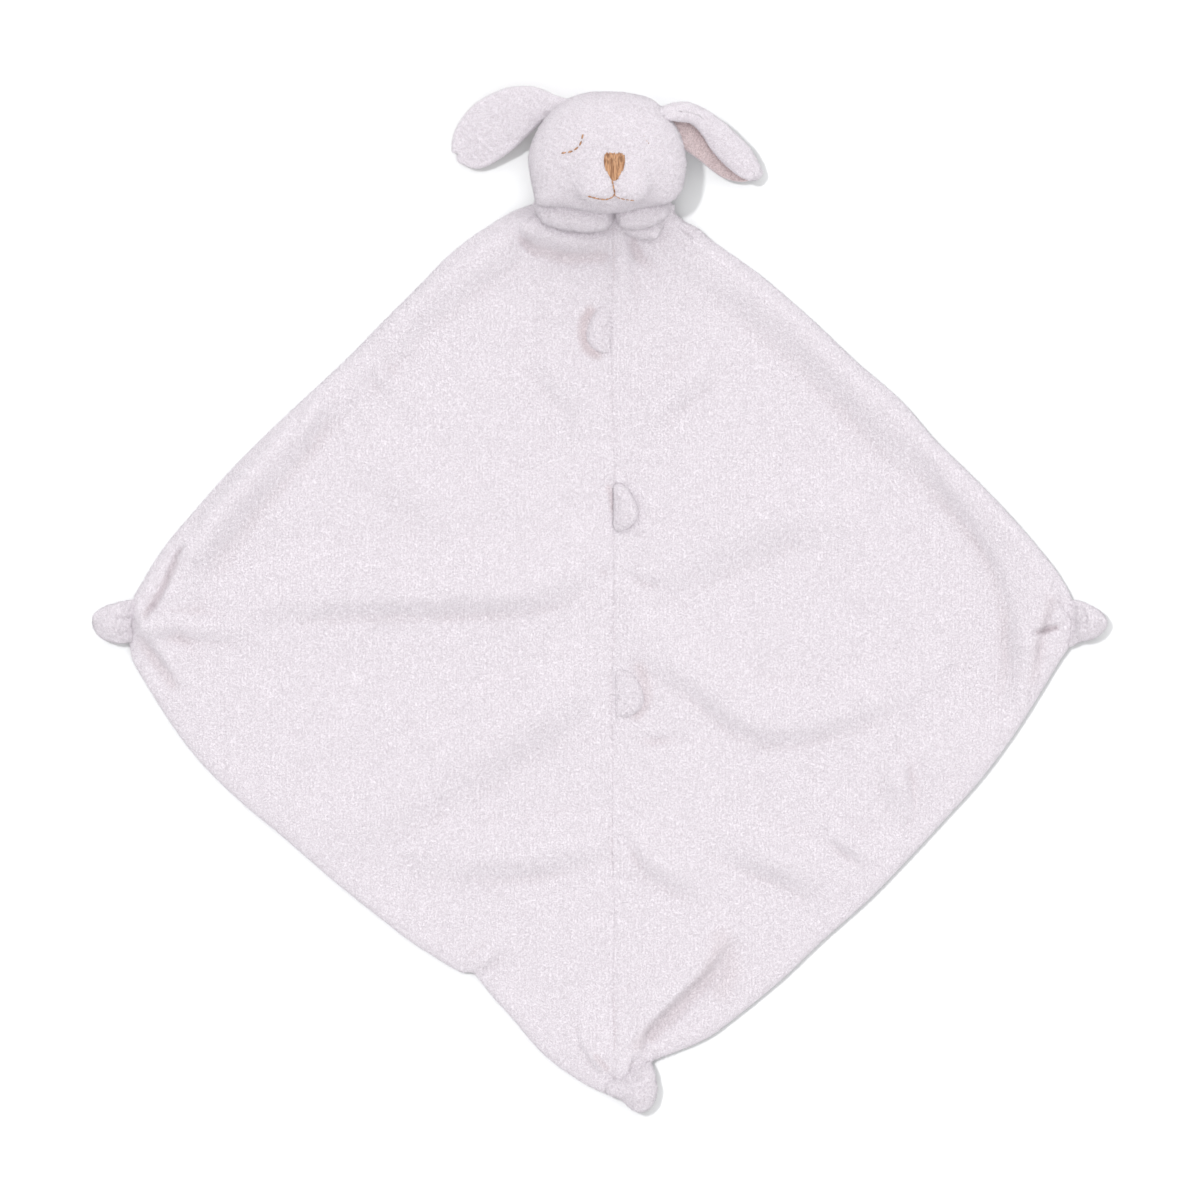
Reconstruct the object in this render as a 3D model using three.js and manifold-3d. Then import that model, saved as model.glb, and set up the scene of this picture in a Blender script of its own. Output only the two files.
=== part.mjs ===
// A comfort blanket with a sleeping puppy's head at one corner, three knotted corners and three sewn tabs.
// Millimetres, +Z up. It lies flat, face up. The origin is on the table under the centre seam, level with the
// ties of the two side corners. +X runs to the right corner and +Y to the head.
import * as THREE from 'three';
import { mergeVertices } from 'three/addons/utils/BufferGeometryUtils.js';
import Module from 'manifold-3d';

const wasm = await Module();
wasm.setup();

// Cloth, thread and fit
const reach = 232; // centre seam to the left corner's tie
const clothThickness = 2.6; // plush with its pile
const threadRadius = 0.4;
const threadSides = 5;
const fit = 0.35; // clearance between pieces that touch
const overrun = 5; // how far a cutting shape runs past what it cuts

// Blanket
const layerGap = 2 * (threadRadius + fit);
const rowSpacing = 9.5;
const columnSpacing = 11.5;
const hemRound = 7; // width over which the front cloth rolls down to its edge
const hemShare = 0.5; // of the cloth's thickness that is left at the edge
const foldRise = 6;
const foldFlank = 20;
const foldFade = 15; // folds die out over this width along the edge
const foldEndShare = 0.12; // how far into its swell a fold is at its ends
const seamHoldShare = 0.8; // of a fold's rise that the centre seam holds down
const seamHoldReach = 16;
const seamInset = 2; // edge seam's thread to the cloth's edge

// Neck, which folds about a line across the blanket
const neckPlaceShare = 0.8535; // of the reach
const neckPlace = neckPlaceShare * reach;
const neckHeight = 14;
const rollRadius = 10.5;
const rollLeftEnd = 38;
const rollRightEnd = 28;
const rollSplit = 1.1; // where the two neck rolls meet, right of the centre seam
const rollProfileShares = [ // radius and length from the middle outwards
  [0, 0], [0.75, 0.03], [0.97, 0.14], [1, 0.35], [0.94, 0.7], [0.74, 0.92], [0.4, 1], [0, 1],
];
const neckStubRadius = 8;
const neckStubLength = 17;

// Head: an egg, wider towards the chin, flat at the back where it lies
const headCentre = [-2.4, neckPlace + 21, 22.5];
const headHalfWidth = 38;
const headCrown = 35; // centre to the crown
const headChin = 23; // centre to the chin
const headFrontDepth = 26; // centre to the brow
const headBackDepth = 23; // centre to the back of the head, before it is cut flat
const headFacets = 28;
const headBands = 12;
const headSeamDip = 12; // degrees that the head's seam runs on below the ears at each end
const neckThreadInset = 15; // fold line to the thread that closes the head

// Muzzle and face
const muzzleCentre = [1, neckPlace + 15, 36];
const muzzleHalf = [21, 17, 18];
const muzzleFacets = 22;
const muzzleBands = 10;
const stitchRadius = 0.55;
const stitchSides = 6;
const stitchSteps = 8;
const noseWidth = 9.4;
const noseLength = 13;
const noseThickness = 1.6;
const noseCentre = [0.7, neckPlace + 20.4];
const noseOutlineShares = [ // of its width and length, from the top left round to the left
  [-0.32, 0.5], [0, 0.46], [0.32, 0.5], [0.5, 0.32], [0.47, 0.02], [0.3, -0.32], [0.1, -0.5],
  [-0.1, -0.5], [-0.3, -0.32], [-0.47, 0.02], [-0.5, 0.32],
];
const mouthWidth = 20;
const mouthDrop = 8; // nose to where the smile starts
const smileDepth = 2.4;
const eyeOuter = [23.2, neckPlace + 26.6];
const eyeLow = [17.4, neckPlace + 28.6];
const eyeInner = [14.6, neckPlace + 34.1];
const faceTurn = 0.7; // the face's own centre line, right of the centre seam

// Ears
const earLength = 53;
const earHalfWidth = 14.3;
const earBow = 6; // how far the ear's middle line bows out to its upper side
const earLiningThickness = 1.9;
const earTipHeight = 4.6;
const earRowSpacing = 5;
const earColumnSpacing = 4.5;
const earLayerGap = 0.5; // between an ear's cloth and its lining
const earCamber = 2.5;
const leftEarRoot = [-27.5, neckPlace + 49.5, 27];
const leftEarHeading = [-0.889, -0.458];
const rightEarRoot = [28.5, neckPlace + 44.5, 25];
const rightEarHeading = [0.814, -0.58];
const earCurlRadius = 3.9;
const earCurlAngle = THREE.MathUtils.degToRad(165);
const earCurlStartShare = 0.2; // how far into its swell the curl is at the root
const earCurlEndShare = 0.9; // and at the tip
const earFlatShare = 0.85; // of the ear's upper half width that lies flat before the curl
const earShiftShare = 0.7; // of the half width by which a curled ear sits lower

// Tabs in the centre seam
const tabLength = 23;
const tabReach = 11;
const tabThickness = 3;
const tabBevel = 0.7;
const tabArcSteps = 9;
const tabRootFacets = 10;
const tabSampleShares = [-0.5, -0.25, 0, 0.25, 0.5]; // of its length, where the seam's height is taken
const tabPlaceShares = { upper: 0.606, middle: 0.237, lower: -0.147 }; // of the reach
const tabLies = { upper: -1, middle: 1, lower: 1 }; // the side that each lies to
const tabElevations = { upper: 15, middle: 50, lower: 15 };

// Knotted corners
const knobLength = 18;
const knobRadius = 9.2;
const knobFlattenShare = 0.76; // height of a knob over its width
const knobStemRadius = 4.6;
const knobStemLength = 4;
const knobWall = 2.4;
const knobHeight = 7.2; // tie's middle above the table
const tieRadius = 0.9;
const knobProfileShares = [ // radius and length, from the stem to the tip
  [0.55, 0], [0.86, 0.16], [1, 0.42], [0.93, 0.68], [0.66, 0.9], [0.33, 0.98],
];
const tieSides = 6;
const knobFacets = 12;

// Colours
const plush = { color: 0xe9e4ea, roughness: 0.95, metalness: 0 };
const plushShade = { color: 0xc4b4b6, roughness: 0.95, metalness: 0 };
const paleThread = { color: 0xe4dee2, roughness: 0.8, metalness: 0 };
const brownThread = { color: 0xbc8e6e, roughness: 0.6, metalness: 0 };
const filling = { color: 0xf3f1ee, roughness: 1, metalness: 0 };

// Edges of the blanket from the neck to the bottom corner, as shares of the reach
const leftEdgeShares = [
  [-0.175, 0.845], [-0.300, 0.790], [-0.432, 0.666], [-0.687, 0.418], [-0.848, 0.253], [-0.965, 0.087],
  [-1.000, 0.000], [-0.948, -0.161], [-0.815, -0.327], [-0.532, -0.575], [-0.315, -0.720], [-0.165, -0.865],
  [-0.085, -0.930],
];
const rightEdgeShares = [
  [0.125, 0.845], [0.203, 0.790], [0.358, 0.666], [0.637, 0.418], [0.794, 0.253], [0.925, 0.087],
  [0.957, 0.000], [0.878, -0.161], [0.759, -0.327], [0.528, -0.575], [0.347, -0.740], [0.186, -0.865],
  [0.070, -0.930],
];
const bottomTieShares = [0.022, -0.941];
const bottomKnobHeading = [0.45, -0.893];

// Main folds of the front cloth. A crest runs through places given as shares of the reach. Rise and flanks,
// left and right of the crest as it runs, are shares of the fold's own rise and flank sizes above.
const folds = [
  { crestShares: [[-0.19, 0.80], [-0.36, 0.70], [-0.56, 0.50], [-0.75, 0.30], [-0.91, 0.10]],
    riseShare: 0.6, flankShares: [0.7, 0.6] },
  { crestShares: [[0.18, 0.78], [0.35, 0.65], [0.53, 0.49], [0.70, 0.32], [0.85, 0.12]],
    riseShare: 0.6, flankShares: [0.6, 0.8] },
  { crestShares: [[0.60, 0.31], [0.69, 0.13], [0.71, -0.08], [0.75, -0.28]],
    riseShare: 0.7, flankShares: [1.0, 0.9] },
  { crestShares: [[-0.82, 0.04], [-0.56, 0.05], [-0.34, 0.062], [-0.15, 0.07], [-0.03, 0.13]],
    riseShare: 1.0, flankShares: [1.3, 0.6] },
  { crestShares: [[-0.58, -0.44], [-0.44, -0.36], [-0.28, -0.26], [-0.11, -0.16], [-0.03, -0.13]],
    riseShare: 0.8, flankShares: [1.2, 0.8] },
  { crestShares: [[-0.38, -0.51], [-0.19, -0.51], [-0.05, -0.48]],
    riseShare: 0.65, flankShares: [0.9, 0.65] },
  { crestShares: [[0.05, 0.09], [0.18, 0.14], [0.33, 0.21], [0.49, 0.24]],
    riseShare: 0.75, flankShares: [1.0, 0.8] },
  { crestShares: [[0.06, -0.07], [0.18, -0.12], [0.30, -0.21], [0.45, -0.20], [0.65, -0.12]],
    riseShare: 0.75, flankShares: [1.0, 0.55] },
  { crestShares: [[0.25, -0.46], [0.34, -0.48], [0.43, -0.53]],
    riseShare: 0.6, flankShares: [0.7, 0.55] },
  { crestShares: [[0.21, -0.65], [0.14, -0.73], [0.08, -0.80], [0.04, -0.875]],
    riseShare: 1.1, flankShares: [0.55, 1.0] },
  { crestShares: [[-0.16, 0.815], [-0.10, 0.790], [-0.03, 0.785]],
    riseShare: 0.8, flankShares: [0.5, 0.5] },
  { crestShares: [[0.02, 0.805], [0.06, 0.80], [0.11, 0.805]],
    riseShare: 0.8, flankShares: [0.5, 0.45] },
  { crestShares: [[-0.95, 0.01], [-0.90, 0.11], [-0.82, 0.21], [-0.73, 0.33]],
    riseShare: 0.8, flankShares: [0.5, 0.7] },
  { crestShares: [[-0.95, -0.02], [-0.90, -0.08], [-0.87, -0.16]],
    riseShare: 0.7, flankShares: [0.6, 0.5] },
];

function meshOf(name, geometry, finish) {
  geometry.computeVertexNormals();
  const mesh = new THREE.Mesh(geometry, new THREE.MeshStandardMaterial(finish));
  mesh.name = name;
  return mesh;
}

function geometryOf(points, triangles) {
  const geometry = new THREE.BufferGeometry();
  geometry.setAttribute('position', new THREE.Float32BufferAttribute(points.flat(), 3));
  geometry.setIndex(triangles.flat());
  return geometry;
}

// Solids for joining and cutting
function solidOf(geometry) {
  const bare = geometry.clone();
  bare.deleteAttribute('normal');
  bare.deleteAttribute('uv');
  const merged = mergeVertices(bare);
  return new wasm.Manifold(new wasm.Mesh({
    numProp: 3,
    vertProperties: new Float32Array(merged.attributes.position.array),
    triVerts: new Uint32Array(merged.index.array),
  }));
}

function geometryOfSolid(solid) {
  const cut = solid.getMesh();
  const geometry = new THREE.BufferGeometry();
  geometry.setAttribute('position', new THREE.BufferAttribute(new Float32Array(cut.vertProperties), 3));
  geometry.setIndex(new THREE.BufferAttribute(new Uint32Array(cut.triVerts), 1));
  return geometry;
}

function boxSolid(low, high) {
  const size = high.map((value, axis) => value - low[axis]);
  const box = new THREE.BoxGeometry(...size);
  return solidOf(box.translate(...low.map((value, axis) => value + size[axis] / 2)));
}

// A sheet with two faces: rows of flat points are stitched into triangles and closed round their rim
function stitchRows(rows) {
  const triangles = [];
  let first = 0;
  for (let i = 0; i + 1 < rows.length; i += 1) {
    const next = first + rows[i].length;
    let a = 0;
    let b = 0;
    while (a < rows[i].length - 1 || b < rows[i + 1].length - 1) {
      const aDone = a / Math.max(1, rows[i].length - 1);
      const bDone = b / Math.max(1, rows[i + 1].length - 1);
      if (b === rows[i + 1].length - 1 || (a < rows[i].length - 1 && aDone <= bDone)) {
        triangles.push([first + a, next + b, first + a + 1]);
        a += 1;
      } else {
        triangles.push([first + a, next + b, next + b + 1]);
        b += 1;
      }
    }
    first = next;
  }
  return triangles;
}

function sheetGeometry(rows, under, over) {
  const flat = rows.flat();
  const faces = stitchRows(rows);
  const count = flat.length;
  const points = [...flat.map(under), ...flat.map(over)];
  const triangles = [];
  const rim = new Map();
  for (const [a, b, c] of faces) {
    triangles.push([a + count, b + count, c + count], [a, c, b]);
    for (const [from, to] of [[a, b], [b, c], [c, a]]) {
      if (!rim.delete(`${to},${from}`)) rim.set(`${from},${to}`, [from, to]);
    }
  }
  for (const [from, to] of rim.values()) {
    triangles.push([from, to, to + count], [from, to + count, from + count]);
  }
  return orientOutwards(points, triangles);
}

function orientOutwards(points, triangles) {
  let volume = 0;
  for (const [a, b, c] of triangles) {
    const [p, q, r] = [a, b, c].map((i) => new THREE.Vector3(...points[i]));
    volume += p.dot(q.cross(r));
  }
  return geometryOf(points, volume > 0 ? triangles : triangles.map(([a, b, c]) => [a, c, b]));
}

// A thread along a path: a round tube with flat ends, kept level so that it doesn't twist
function threadGeometry(path, radius, sides) {
  const points = [];
  const triangles = [];
  const up = new THREE.Vector3(0, 0, 1);
  path.forEach((place, i) => {
    const ahead = path[Math.min(i + 1, path.length - 1)].clone();
    const along = ahead.sub(path[Math.max(i - 1, 0)]).normalize();
    const across = new THREE.Vector3().crossVectors(along, up).normalize();
    const rise = new THREE.Vector3().crossVectors(across, along);
    for (let k = 0; k < sides; k += 1) {
      const turn = (2 * Math.PI * k) / sides;
      const spoke = across.clone().multiplyScalar(Math.cos(turn)).addScaledVector(rise, Math.sin(turn));
      points.push(place.clone().addScaledVector(spoke, radius).toArray());
    }
  });
  for (let i = 0; i + 1 < path.length; i += 1) {
    for (let k = 0; k < sides; k += 1) {
      const a = i * sides + k;
      const b = i * sides + ((k + 1) % sides);
      triangles.push([a, b, b + sides], [a, b + sides, a + sides]);
    }
  }
  const last = (path.length - 1) * sides;
  for (let k = 1; k + 1 < sides; k += 1) {
    triangles.push([0, k + 1, k], [last, last + k, last + k + 1]);
  }
  return orientOutwards(points, triangles);
}

function curvePoints(places, count) {
  return new THREE.CatmullRomCurve3(places, false, 'centripetal').getPoints(count);
}

// Blanket outline
const edgeSampleCount = 60;
const edgeCurve = (shares) =>
  curvePoints(shares.map(([x, y]) => new THREE.Vector3(x * reach, y * reach, 0)), edgeSampleCount);
const edges = { left: edgeCurve(leftEdgeShares), right: edgeCurve(rightEdgeShares) };
const neckEnd = edges.left[0].y;
const bottomEnd = edges.left[edgeSampleCount].y;

function edgeAt(side, y) {
  const samples = edges[side];
  let i = 1;
  while (i < edgeSampleCount && samples[i].y > y) i += 1;
  const [above, below] = [samples[i - 1], samples[i]];
  return THREE.MathUtils.mapLinear(y, above.y, below.y, above.x, below.x);
}

// Height of the folds at a place on the front cloth
function foldAt(x, y, fold) {
  const crest = fold.crestShares.map(([a, b]) => new THREE.Vector2(a * reach, b * reach));
  const place = new THREE.Vector2(x, y);
  let nearest = Infinity;
  let side = 1;
  let along = 0;
  crest.slice(1).forEach((end, i) => {
    const run = end.clone().sub(crest[i]);
    const rest = place.clone().sub(crest[i]);
    const share = THREE.MathUtils.clamp(rest.dot(run) / run.lengthSq(), 0, 1);
    const gap = rest.clone().addScaledVector(run, -share).length();
    if (gap < nearest) {
      nearest = gap;
      side = run.cross(rest) > 0 ? 0 : 1;
      along = (i + share) / (crest.length - 1);
    }
  });
  const flank = foldFlank * fold.flankShares[side];
  const slope = Math.max(0, 1 - (nearest / flank) ** 2) ** 2;
  const swell = Math.sin(Math.PI * THREE.MathUtils.lerp(foldEndShare, 1 - foldEndShare, along));
  return foldRise * fold.riseShare * slope * swell;
}

function foldsAt(x, y) {
  const edgeRoom = Math.min(edgeAt('right', y) - x, x - edgeAt('left', y));
  const held = 1 - seamHoldShare * Math.exp(-((x / seamHoldReach) ** 2));
  const faded = THREE.MathUtils.smoothstep(edgeRoom, 0, foldFade);
  return held * faded * folds.reduce((sum, fold) => sum + foldAt(x, y, fold), 0);
}

const frontUnder = (x, y) => clothThickness + layerGap + foldsAt(x, y);

function frontOver(x, y) {
  const edgeRoom = Math.min(edgeAt('right', y) - x, x - edgeAt('left', y), Math.abs(x));
  const roundShare = hemShare + (1 - hemShare) * THREE.MathUtils.smoothstep(edgeRoom, 0, hemRound);
  return frontUnder(x, y) + clothThickness * roundShare;
}

// Neck rolls, and the room they need
function rollCutter(clearance) {
  const length = rollLeftEnd + rollRightEnd + 2 * overrun;
  const radius = rollRadius + clearance;
  const cylinder = new THREE.CylinderGeometry(radius, radius, length, headFacets);
  cylinder.rotateZ(Math.PI / 2);
  cylinder.translate((rollRightEnd - rollLeftEnd) / 2, neckPlace, neckHeight);
  return solidOf(cylinder);
}

function neckRoll(name, innerEnd, outerEnd) {
  const length = Math.abs(outerEnd - innerEnd);
  const profile = rollProfileShares.map(([r, a]) => new THREE.Vector2(r * rollRadius, a * length));
  const roll = new THREE.LatheGeometry(profile, headFacets);
  roll.rotateZ(-Math.sign(outerEnd - innerEnd) * Math.PI / 2);
  roll.translate(innerEnd, neckPlace, neckHeight);
  return meshOf(name, geometryOfSolid(solidOf(roll)), plush);
}

// Front panels of the blanket, one each side of the centre seam
function frontPanel(side) {
  const seamEdge = (threadRadius + fit) * (side === 'left' ? -1 : 1);
  const places = [];
  for (const [from, to] of [[neckEnd, 0], [0, bottomEnd]]) {
    const count = Math.round((from - to) / rowSpacing);
    for (let i = places.length ? 1 : 0; i <= count; i += 1) {
      places.push(THREE.MathUtils.lerp(from, to, i / count));
    }
  }
  const rows = places.map((y) => {
    const width = edgeAt(side, y) - seamEdge;
    const columns = Math.max(2, Math.round(Math.abs(width) / columnSpacing));
    return Array.from({ length: columns + 1 }, (_, i) => [seamEdge + (width * i) / columns, y]);
  });
  const sheet = sheetGeometry(
    rows,
    ([x, y]) => [x, y, frontUnder(x, y)],
    ([x, y]) => [x, y, frontOver(x, y)],
  );
  return meshOf(`front_${side}`, geometryOfSolid(solidOf(sheet).subtract(rollCutter(fit))), plush);
}

function backPanel() {
  const everySecond = (samples) => samples.filter((_, i) => i % 2 === 0);
  const rim = [...everySecond(edges.left), ...everySecond(edges.right).reverse()];
  const outline = new THREE.Shape(rim.map(({ x, y }) => new THREE.Vector2(x, y)));
  const panel = new THREE.ExtrudeGeometry(outline, { depth: clothThickness, bevelEnabled: false });
  return meshOf('back', panel, plush);
}

function centreSeam() {
  const from = neckPlace - rollRadius - fit - threadRadius;
  const count = Math.round((from - bottomEnd) / rowSpacing);
  const path = Array.from({ length: count + 1 }, (_, i) => {
    const y = THREE.MathUtils.lerp(from, bottomEnd, i / count);
    return new THREE.Vector3(0, y, frontUnder(0, y) + clothThickness * hemShare / 2);
  });
  return meshOf('centre_seam_thread', threadGeometry(path, threadRadius, threadSides), paleThread);
}

function edgeSeam() {
  const height = clothThickness + layerGap / 2;
  const inset = (side, towards) => edges[side].filter((_, i) => i % 2 === 1)
    .map(({ x, y }) => new THREE.Vector3(x + towards * seamInset * Math.SQRT2, y, height));
  const path = [...inset('left', 1), ...inset('right', -1).reverse()];
  return meshOf('edge_seam_thread', threadGeometry(path, threadRadius, threadSides), paleThread);
}

// Head: an egg-shaped solid, drawn in by an inset, with the hollow that the neck rolls lie in
function eggSolid(centre, halves, inset, facets, bands) {
  const ball = new THREE.SphereGeometry(1, facets, bands).rotateX(Math.PI / 2);
  const place = ball.attributes.position;
  for (let i = 0; i < place.count; i += 1) {
    const unit = [place.getX(i), place.getY(i), place.getZ(i)];
    const [x, y, z] = unit.map((value, axis) => {
      const [below, above] = halves[axis];
      return centre[axis] + value * ((value < 0 ? below : above) - inset);
    });
    place.setXYZ(i, x, y, z);
  }
  return solidOf(ball);
}

const headHalves = [
  [headHalfWidth, headHalfWidth],
  [headChin, headCrown],
  [headBackDepth, headFrontDepth],
];
const muzzleHalves = muzzleHalf.map((half) => [half, half]);

function headSolid(inset) {
  const egg = eggSolid(headCentre, headHalves, inset, headFacets, headBands);
  const table = boxSolid(
    [headCentre[0] - 2 * headHalfWidth, headCentre[1] - 2 * headCrown, -headBackDepth],
    [headCentre[0] + 2 * headHalfWidth, headCentre[1] + 2 * headCrown, inset],
  );
  return egg.subtract(rollCutter(fit + inset)).subtract(table);
}

function muzzleSolid(inset) {
  return eggSolid(muzzleCentre, muzzleHalves, inset, muzzleFacets, muzzleBands)
    .subtract(eggSolid(headCentre, headHalves, -fit, headFacets, headBands));
}

function neckCylinder(radius) {
  const cylinder = new THREE.CylinderGeometry(radius, radius, 2 * neckStubLength, muzzleFacets);
  cylinder.translate(headCentre[0], neckPlace + rollRadius, neckHeight);
  return solidOf(cylinder);
}

function neckStub() {
  return meshOf('neck_stub', geometryOfSolid(neckCylinder(neckStubRadius).subtract(rollCutter(fit)).subtract(
    boxSolid([-2 * headHalfWidth, 0, 0], [2 * headHalfWidth, neckPlace, 2 * headFrontDepth]),
  )), plush);
}

function headSeamPath() {
  const inset = clothThickness + fit + threadRadius;
  return Array.from({ length: headBands + 1 }, (_, i) => {
    const degrees = THREE.MathUtils.lerp(-headSeamDip, 180 + headSeamDip, i / headBands);
    const turn = THREE.MathUtils.degToRad(degrees);
    const length = (Math.sin(turn) < 0 ? headChin : headCrown) - inset;
    return new THREE.Vector3(
      headCentre[0] + Math.cos(turn) * (headHalfWidth - inset),
      headCentre[1] + Math.sin(turn) * length,
      headCentre[2],
    );
  });
}

function neckThreadSolid(radius) {
  const loop = neckStubRadius + fit + threadRadius;
  const ring = new THREE.TorusGeometry(loop, radius, threadSides, muzzleFacets);
  ring.rotateX(Math.PI / 2);
  return solidOf(ring.translate(headCentre[0], neckPlace + neckThreadInset, neckHeight));
}

function headPieces() {
  const seam = headCentre[2];
  const shell = headSolid(0).subtract(headSolid(clothThickness)).subtract(neckCylinder(neckStubRadius + fit));
  const far = headHalfWidth * 2;
  const below = boxSolid([-far, 0, -far], [far, reach * 2, seam + fit / 2]);
  const above = boxSolid([-far, 0, seam - fit / 2], [far, reach * 2, far]);
  const stuffing = headSolid(clothThickness + fit)
    .subtract(neckCylinder(neckStubRadius + fit))
    .subtract(neckThreadSolid(threadRadius + fit))
    .subtract(solidOf(threadGeometry(headSeamPath(), threadRadius + fit, threadSides)));
  return [
    meshOf('head_front', geometryOfSolid(shell.subtract(below)), plush),
    meshOf('head_back', geometryOfSolid(shell.subtract(above)), plush),
    meshOf('head_stuffing', geometryOfSolid(stuffing), filling),
    meshOf('head_seam_thread', threadGeometry(headSeamPath(), threadRadius, threadSides), paleThread),
    meshOf('neck_thread', geometryOfSolid(neckThreadSolid(threadRadius)), paleThread),
    neckStub(),
  ];
}

function muzzlePieces() {
  return [
    meshOf('muzzle', geometryOfSolid(muzzleSolid(0).subtract(muzzleSolid(clothThickness))), plush),
    meshOf('muzzle_stuffing', geometryOfSolid(muzzleSolid(clothThickness + fit)), filling),
  ];
}

// Height of the face at a place seen from above, on whichever of head and muzzle is higher
function faceHeight(x, y) {
  const height = (centre, halves) => {
    const across = (x - centre[0]) / halves[0][1];
    const along = (y - centre[1]) / (y < centre[1] ? halves[1][0] : halves[1][1]);
    return centre[2] + halves[2][1] * Math.sqrt(Math.max(0, 1 - across ** 2 - along ** 2));
  };
  return Math.max(height(headCentre, headHalves), height(muzzleCentre, muzzleHalves));
}

function stitchLine(name, places, count) {
  const path = curvePoints(places.map(([x, y]) => new THREE.Vector3(x, y, 0)), count);
  path.forEach((place) => { place.z = faceHeight(place.x, place.y) + fit + 2 * stitchRadius; });
  return meshOf(name, threadGeometry(path, stitchRadius, stitchSides), brownThread);
}

function nose() {
  const rim = noseOutlineShares.map(([a, b]) => new THREE.Vector2(a * noseWidth, b * noseLength));
  const outline = new THREE.Shape(rim);
  const prism = new THREE.ExtrudeGeometry(outline, { depth: 2 * muzzleHalf[2], bevelEnabled: false });
  prism.translate(...noseCentre, muzzleCentre[2]);
  const face = (proud) => eggSolid(muzzleCentre, muzzleHalves, -proud, muzzleFacets, muzzleBands)
    .add(eggSolid(headCentre, headHalves, -proud, headFacets, headBands));
  const patch = solidOf(prism).intersect(face(2 * fit + noseThickness)).subtract(face(2 * fit));
  return meshOf('nose', geometryOfSolid(patch), brownThread);
}

function mouth() {
  const top = noseCentre[1] - noseLength / 2 - stitchRadius - fit;
  const lip = noseCentre[1] - noseLength / 2 - mouthDrop;
  const half = mouthWidth / 2;
  const fall = [noseCentre[0], top];
  const corner = [faceTurn - half, lip + smileDepth / 2];
  const lowest = [faceTurn - half / 2, lip - smileDepth / 2];
  const places = [corner, lowest, [noseCentre[0], lip], fall];
  const right = [[faceTurn + half, lip], [faceTurn + half / 2, lip - smileDepth / 2],
    [noseCentre[0] + 2 * stitchRadius + fit, lip - stitchRadius]];
  return [stitchLine('mouth_left', places, 2 * stitchSteps), stitchLine('mouth_right', right, stitchSteps)];
}

function eyes() {
  const places = [eyeOuter, eyeLow, eyeInner];
  return [
    stitchLine('eye_left', places.map(([x, y]) => [-x, y]), stitchSteps),
    stitchLine('eye_right', places.map(([x, y]) => [x, y]), stitchSteps),
  ];
}

// Ears: each is an outer cloth and a lining, laid each side of one curved middle surface
function earHalfWidthAt(share) {
  const rootShare = 0.36;
  const swellShare = 0.62;
  if (share > swellShare) {
    return earHalfWidth * Math.sqrt(Math.max(0, 1 - ((share - swellShare) / (1 - swellShare)) ** 2));
  }
  return earHalfWidth * (rootShare + (1 - rootShare) * Math.sin((Math.PI / 2) * (share / swellShare)));
}

function earRows() {
  const count = Math.round(earLength / earRowSpacing);
  const tipShare = 0.985;
  return Array.from({ length: count + 1 }, (_, i) => {
    const share = tipShare * Math.sin((Math.PI / 2) * (i / count));
    const half = earHalfWidthAt(share);
    const columns = Math.max(2, Math.round((2 * half) / earColumnSpacing));
    return Array.from({ length: columns + 1 }, (_item, k) => {
      const across = THREE.MathUtils.lerp(-half, half, k / columns);
      return [share * earLength, across];
    });
  });
}

// Middle surface of an ear at a distance along it and a distance across it, positive to its lower side
function earPlace(ear, along, across) {
  const share = along / earLength;
  const half = earHalfWidthAt(share);
  const bow = -earBow * Math.sin(Math.PI * share);
  const drop = (ear.root[2] - earTipHeight) * Math.sin((Math.PI / 2) * Math.min(1, share));
  let lateral = across + bow;
  let height = ear.root[2] - drop;
  if (ear.curled) {
    const swell = THREE.MathUtils.lerp(earCurlStartShare, earCurlEndShare, share);
    const turn = earCurlAngle * Math.sin(Math.PI * swell);
    const bendFrom = half * earFlatShare;
    const run = half - across;
    const arc = THREE.MathUtils.clamp((run - bendFrom) / earCurlRadius, 0, turn);
    const flap = Math.max(0, run - bendFrom - turn * earCurlRadius);
    lateral = half * earShiftShare - Math.min(run, bendFrom)
      - earCurlRadius * Math.sin(arc) - flap * Math.cos(arc);
    height += earCurlRadius * (1 - Math.cos(arc)) + flap * Math.sin(arc);
  } else {
    height -= earCamber * (across / earHalfWidth) ** 2;
  }
  const [dx, dy] = ear.heading;
  const [lx, ly] = ear.lowerSide;
  return new THREE.Vector3(
    ear.root[0] + dx * along + lx * lateral,
    ear.root[1] + dy * along + ly * lateral,
    height,
  );
}

function earLayer(ear, name, from, to, finish) {
  const step = earColumnSpacing / 100;
  const offsetBy = (offset) => ([along, across]) => {
    const place = earPlace(ear, along, across);
    const ahead = earPlace(ear, along + step, across).sub(place);
    const aside = earPlace(ear, along, across + step).sub(place);
    const normal = aside.cross(ahead).normalize();
    if (ear.heading[0] * ear.lowerSide[1] - ear.heading[1] * ear.lowerSide[0] > 0) normal.negate();
    return place.addScaledVector(normal, offset).toArray();
  };
  const sheet = solidOf(sheetGeometry(earRows(), offsetBy(from), offsetBy(to)));
  return meshOf(name, geometryOfSolid(sheet.subtract(headPlanPrism(2 * fit))), finish);
}

// The head's outline seen from above, run right up and down: the room that an ear needs to swing up
function headPlanPrism(proud) {
  const rim = Array.from({ length: headFacets }, (_, i) => {
    const turn = (2 * Math.PI * i) / headFacets;
    const length = (Math.sin(turn) < 0 ? headChin : headCrown) + proud;
    return new THREE.Vector2(
      headCentre[0] + Math.cos(turn) * (headHalfWidth + proud),
      headCentre[1] + Math.sin(turn) * length,
    );
  });
  const bottom = -headFrontDepth;
  const top = headCentre[2] + 2 * headFrontDepth;
  const prism = new THREE.ExtrudeGeometry(new THREE.Shape(rim), { depth: top - bottom, bevelEnabled: false });
  return solidOf(prism.translate(0, 0, bottom));
}

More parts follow.
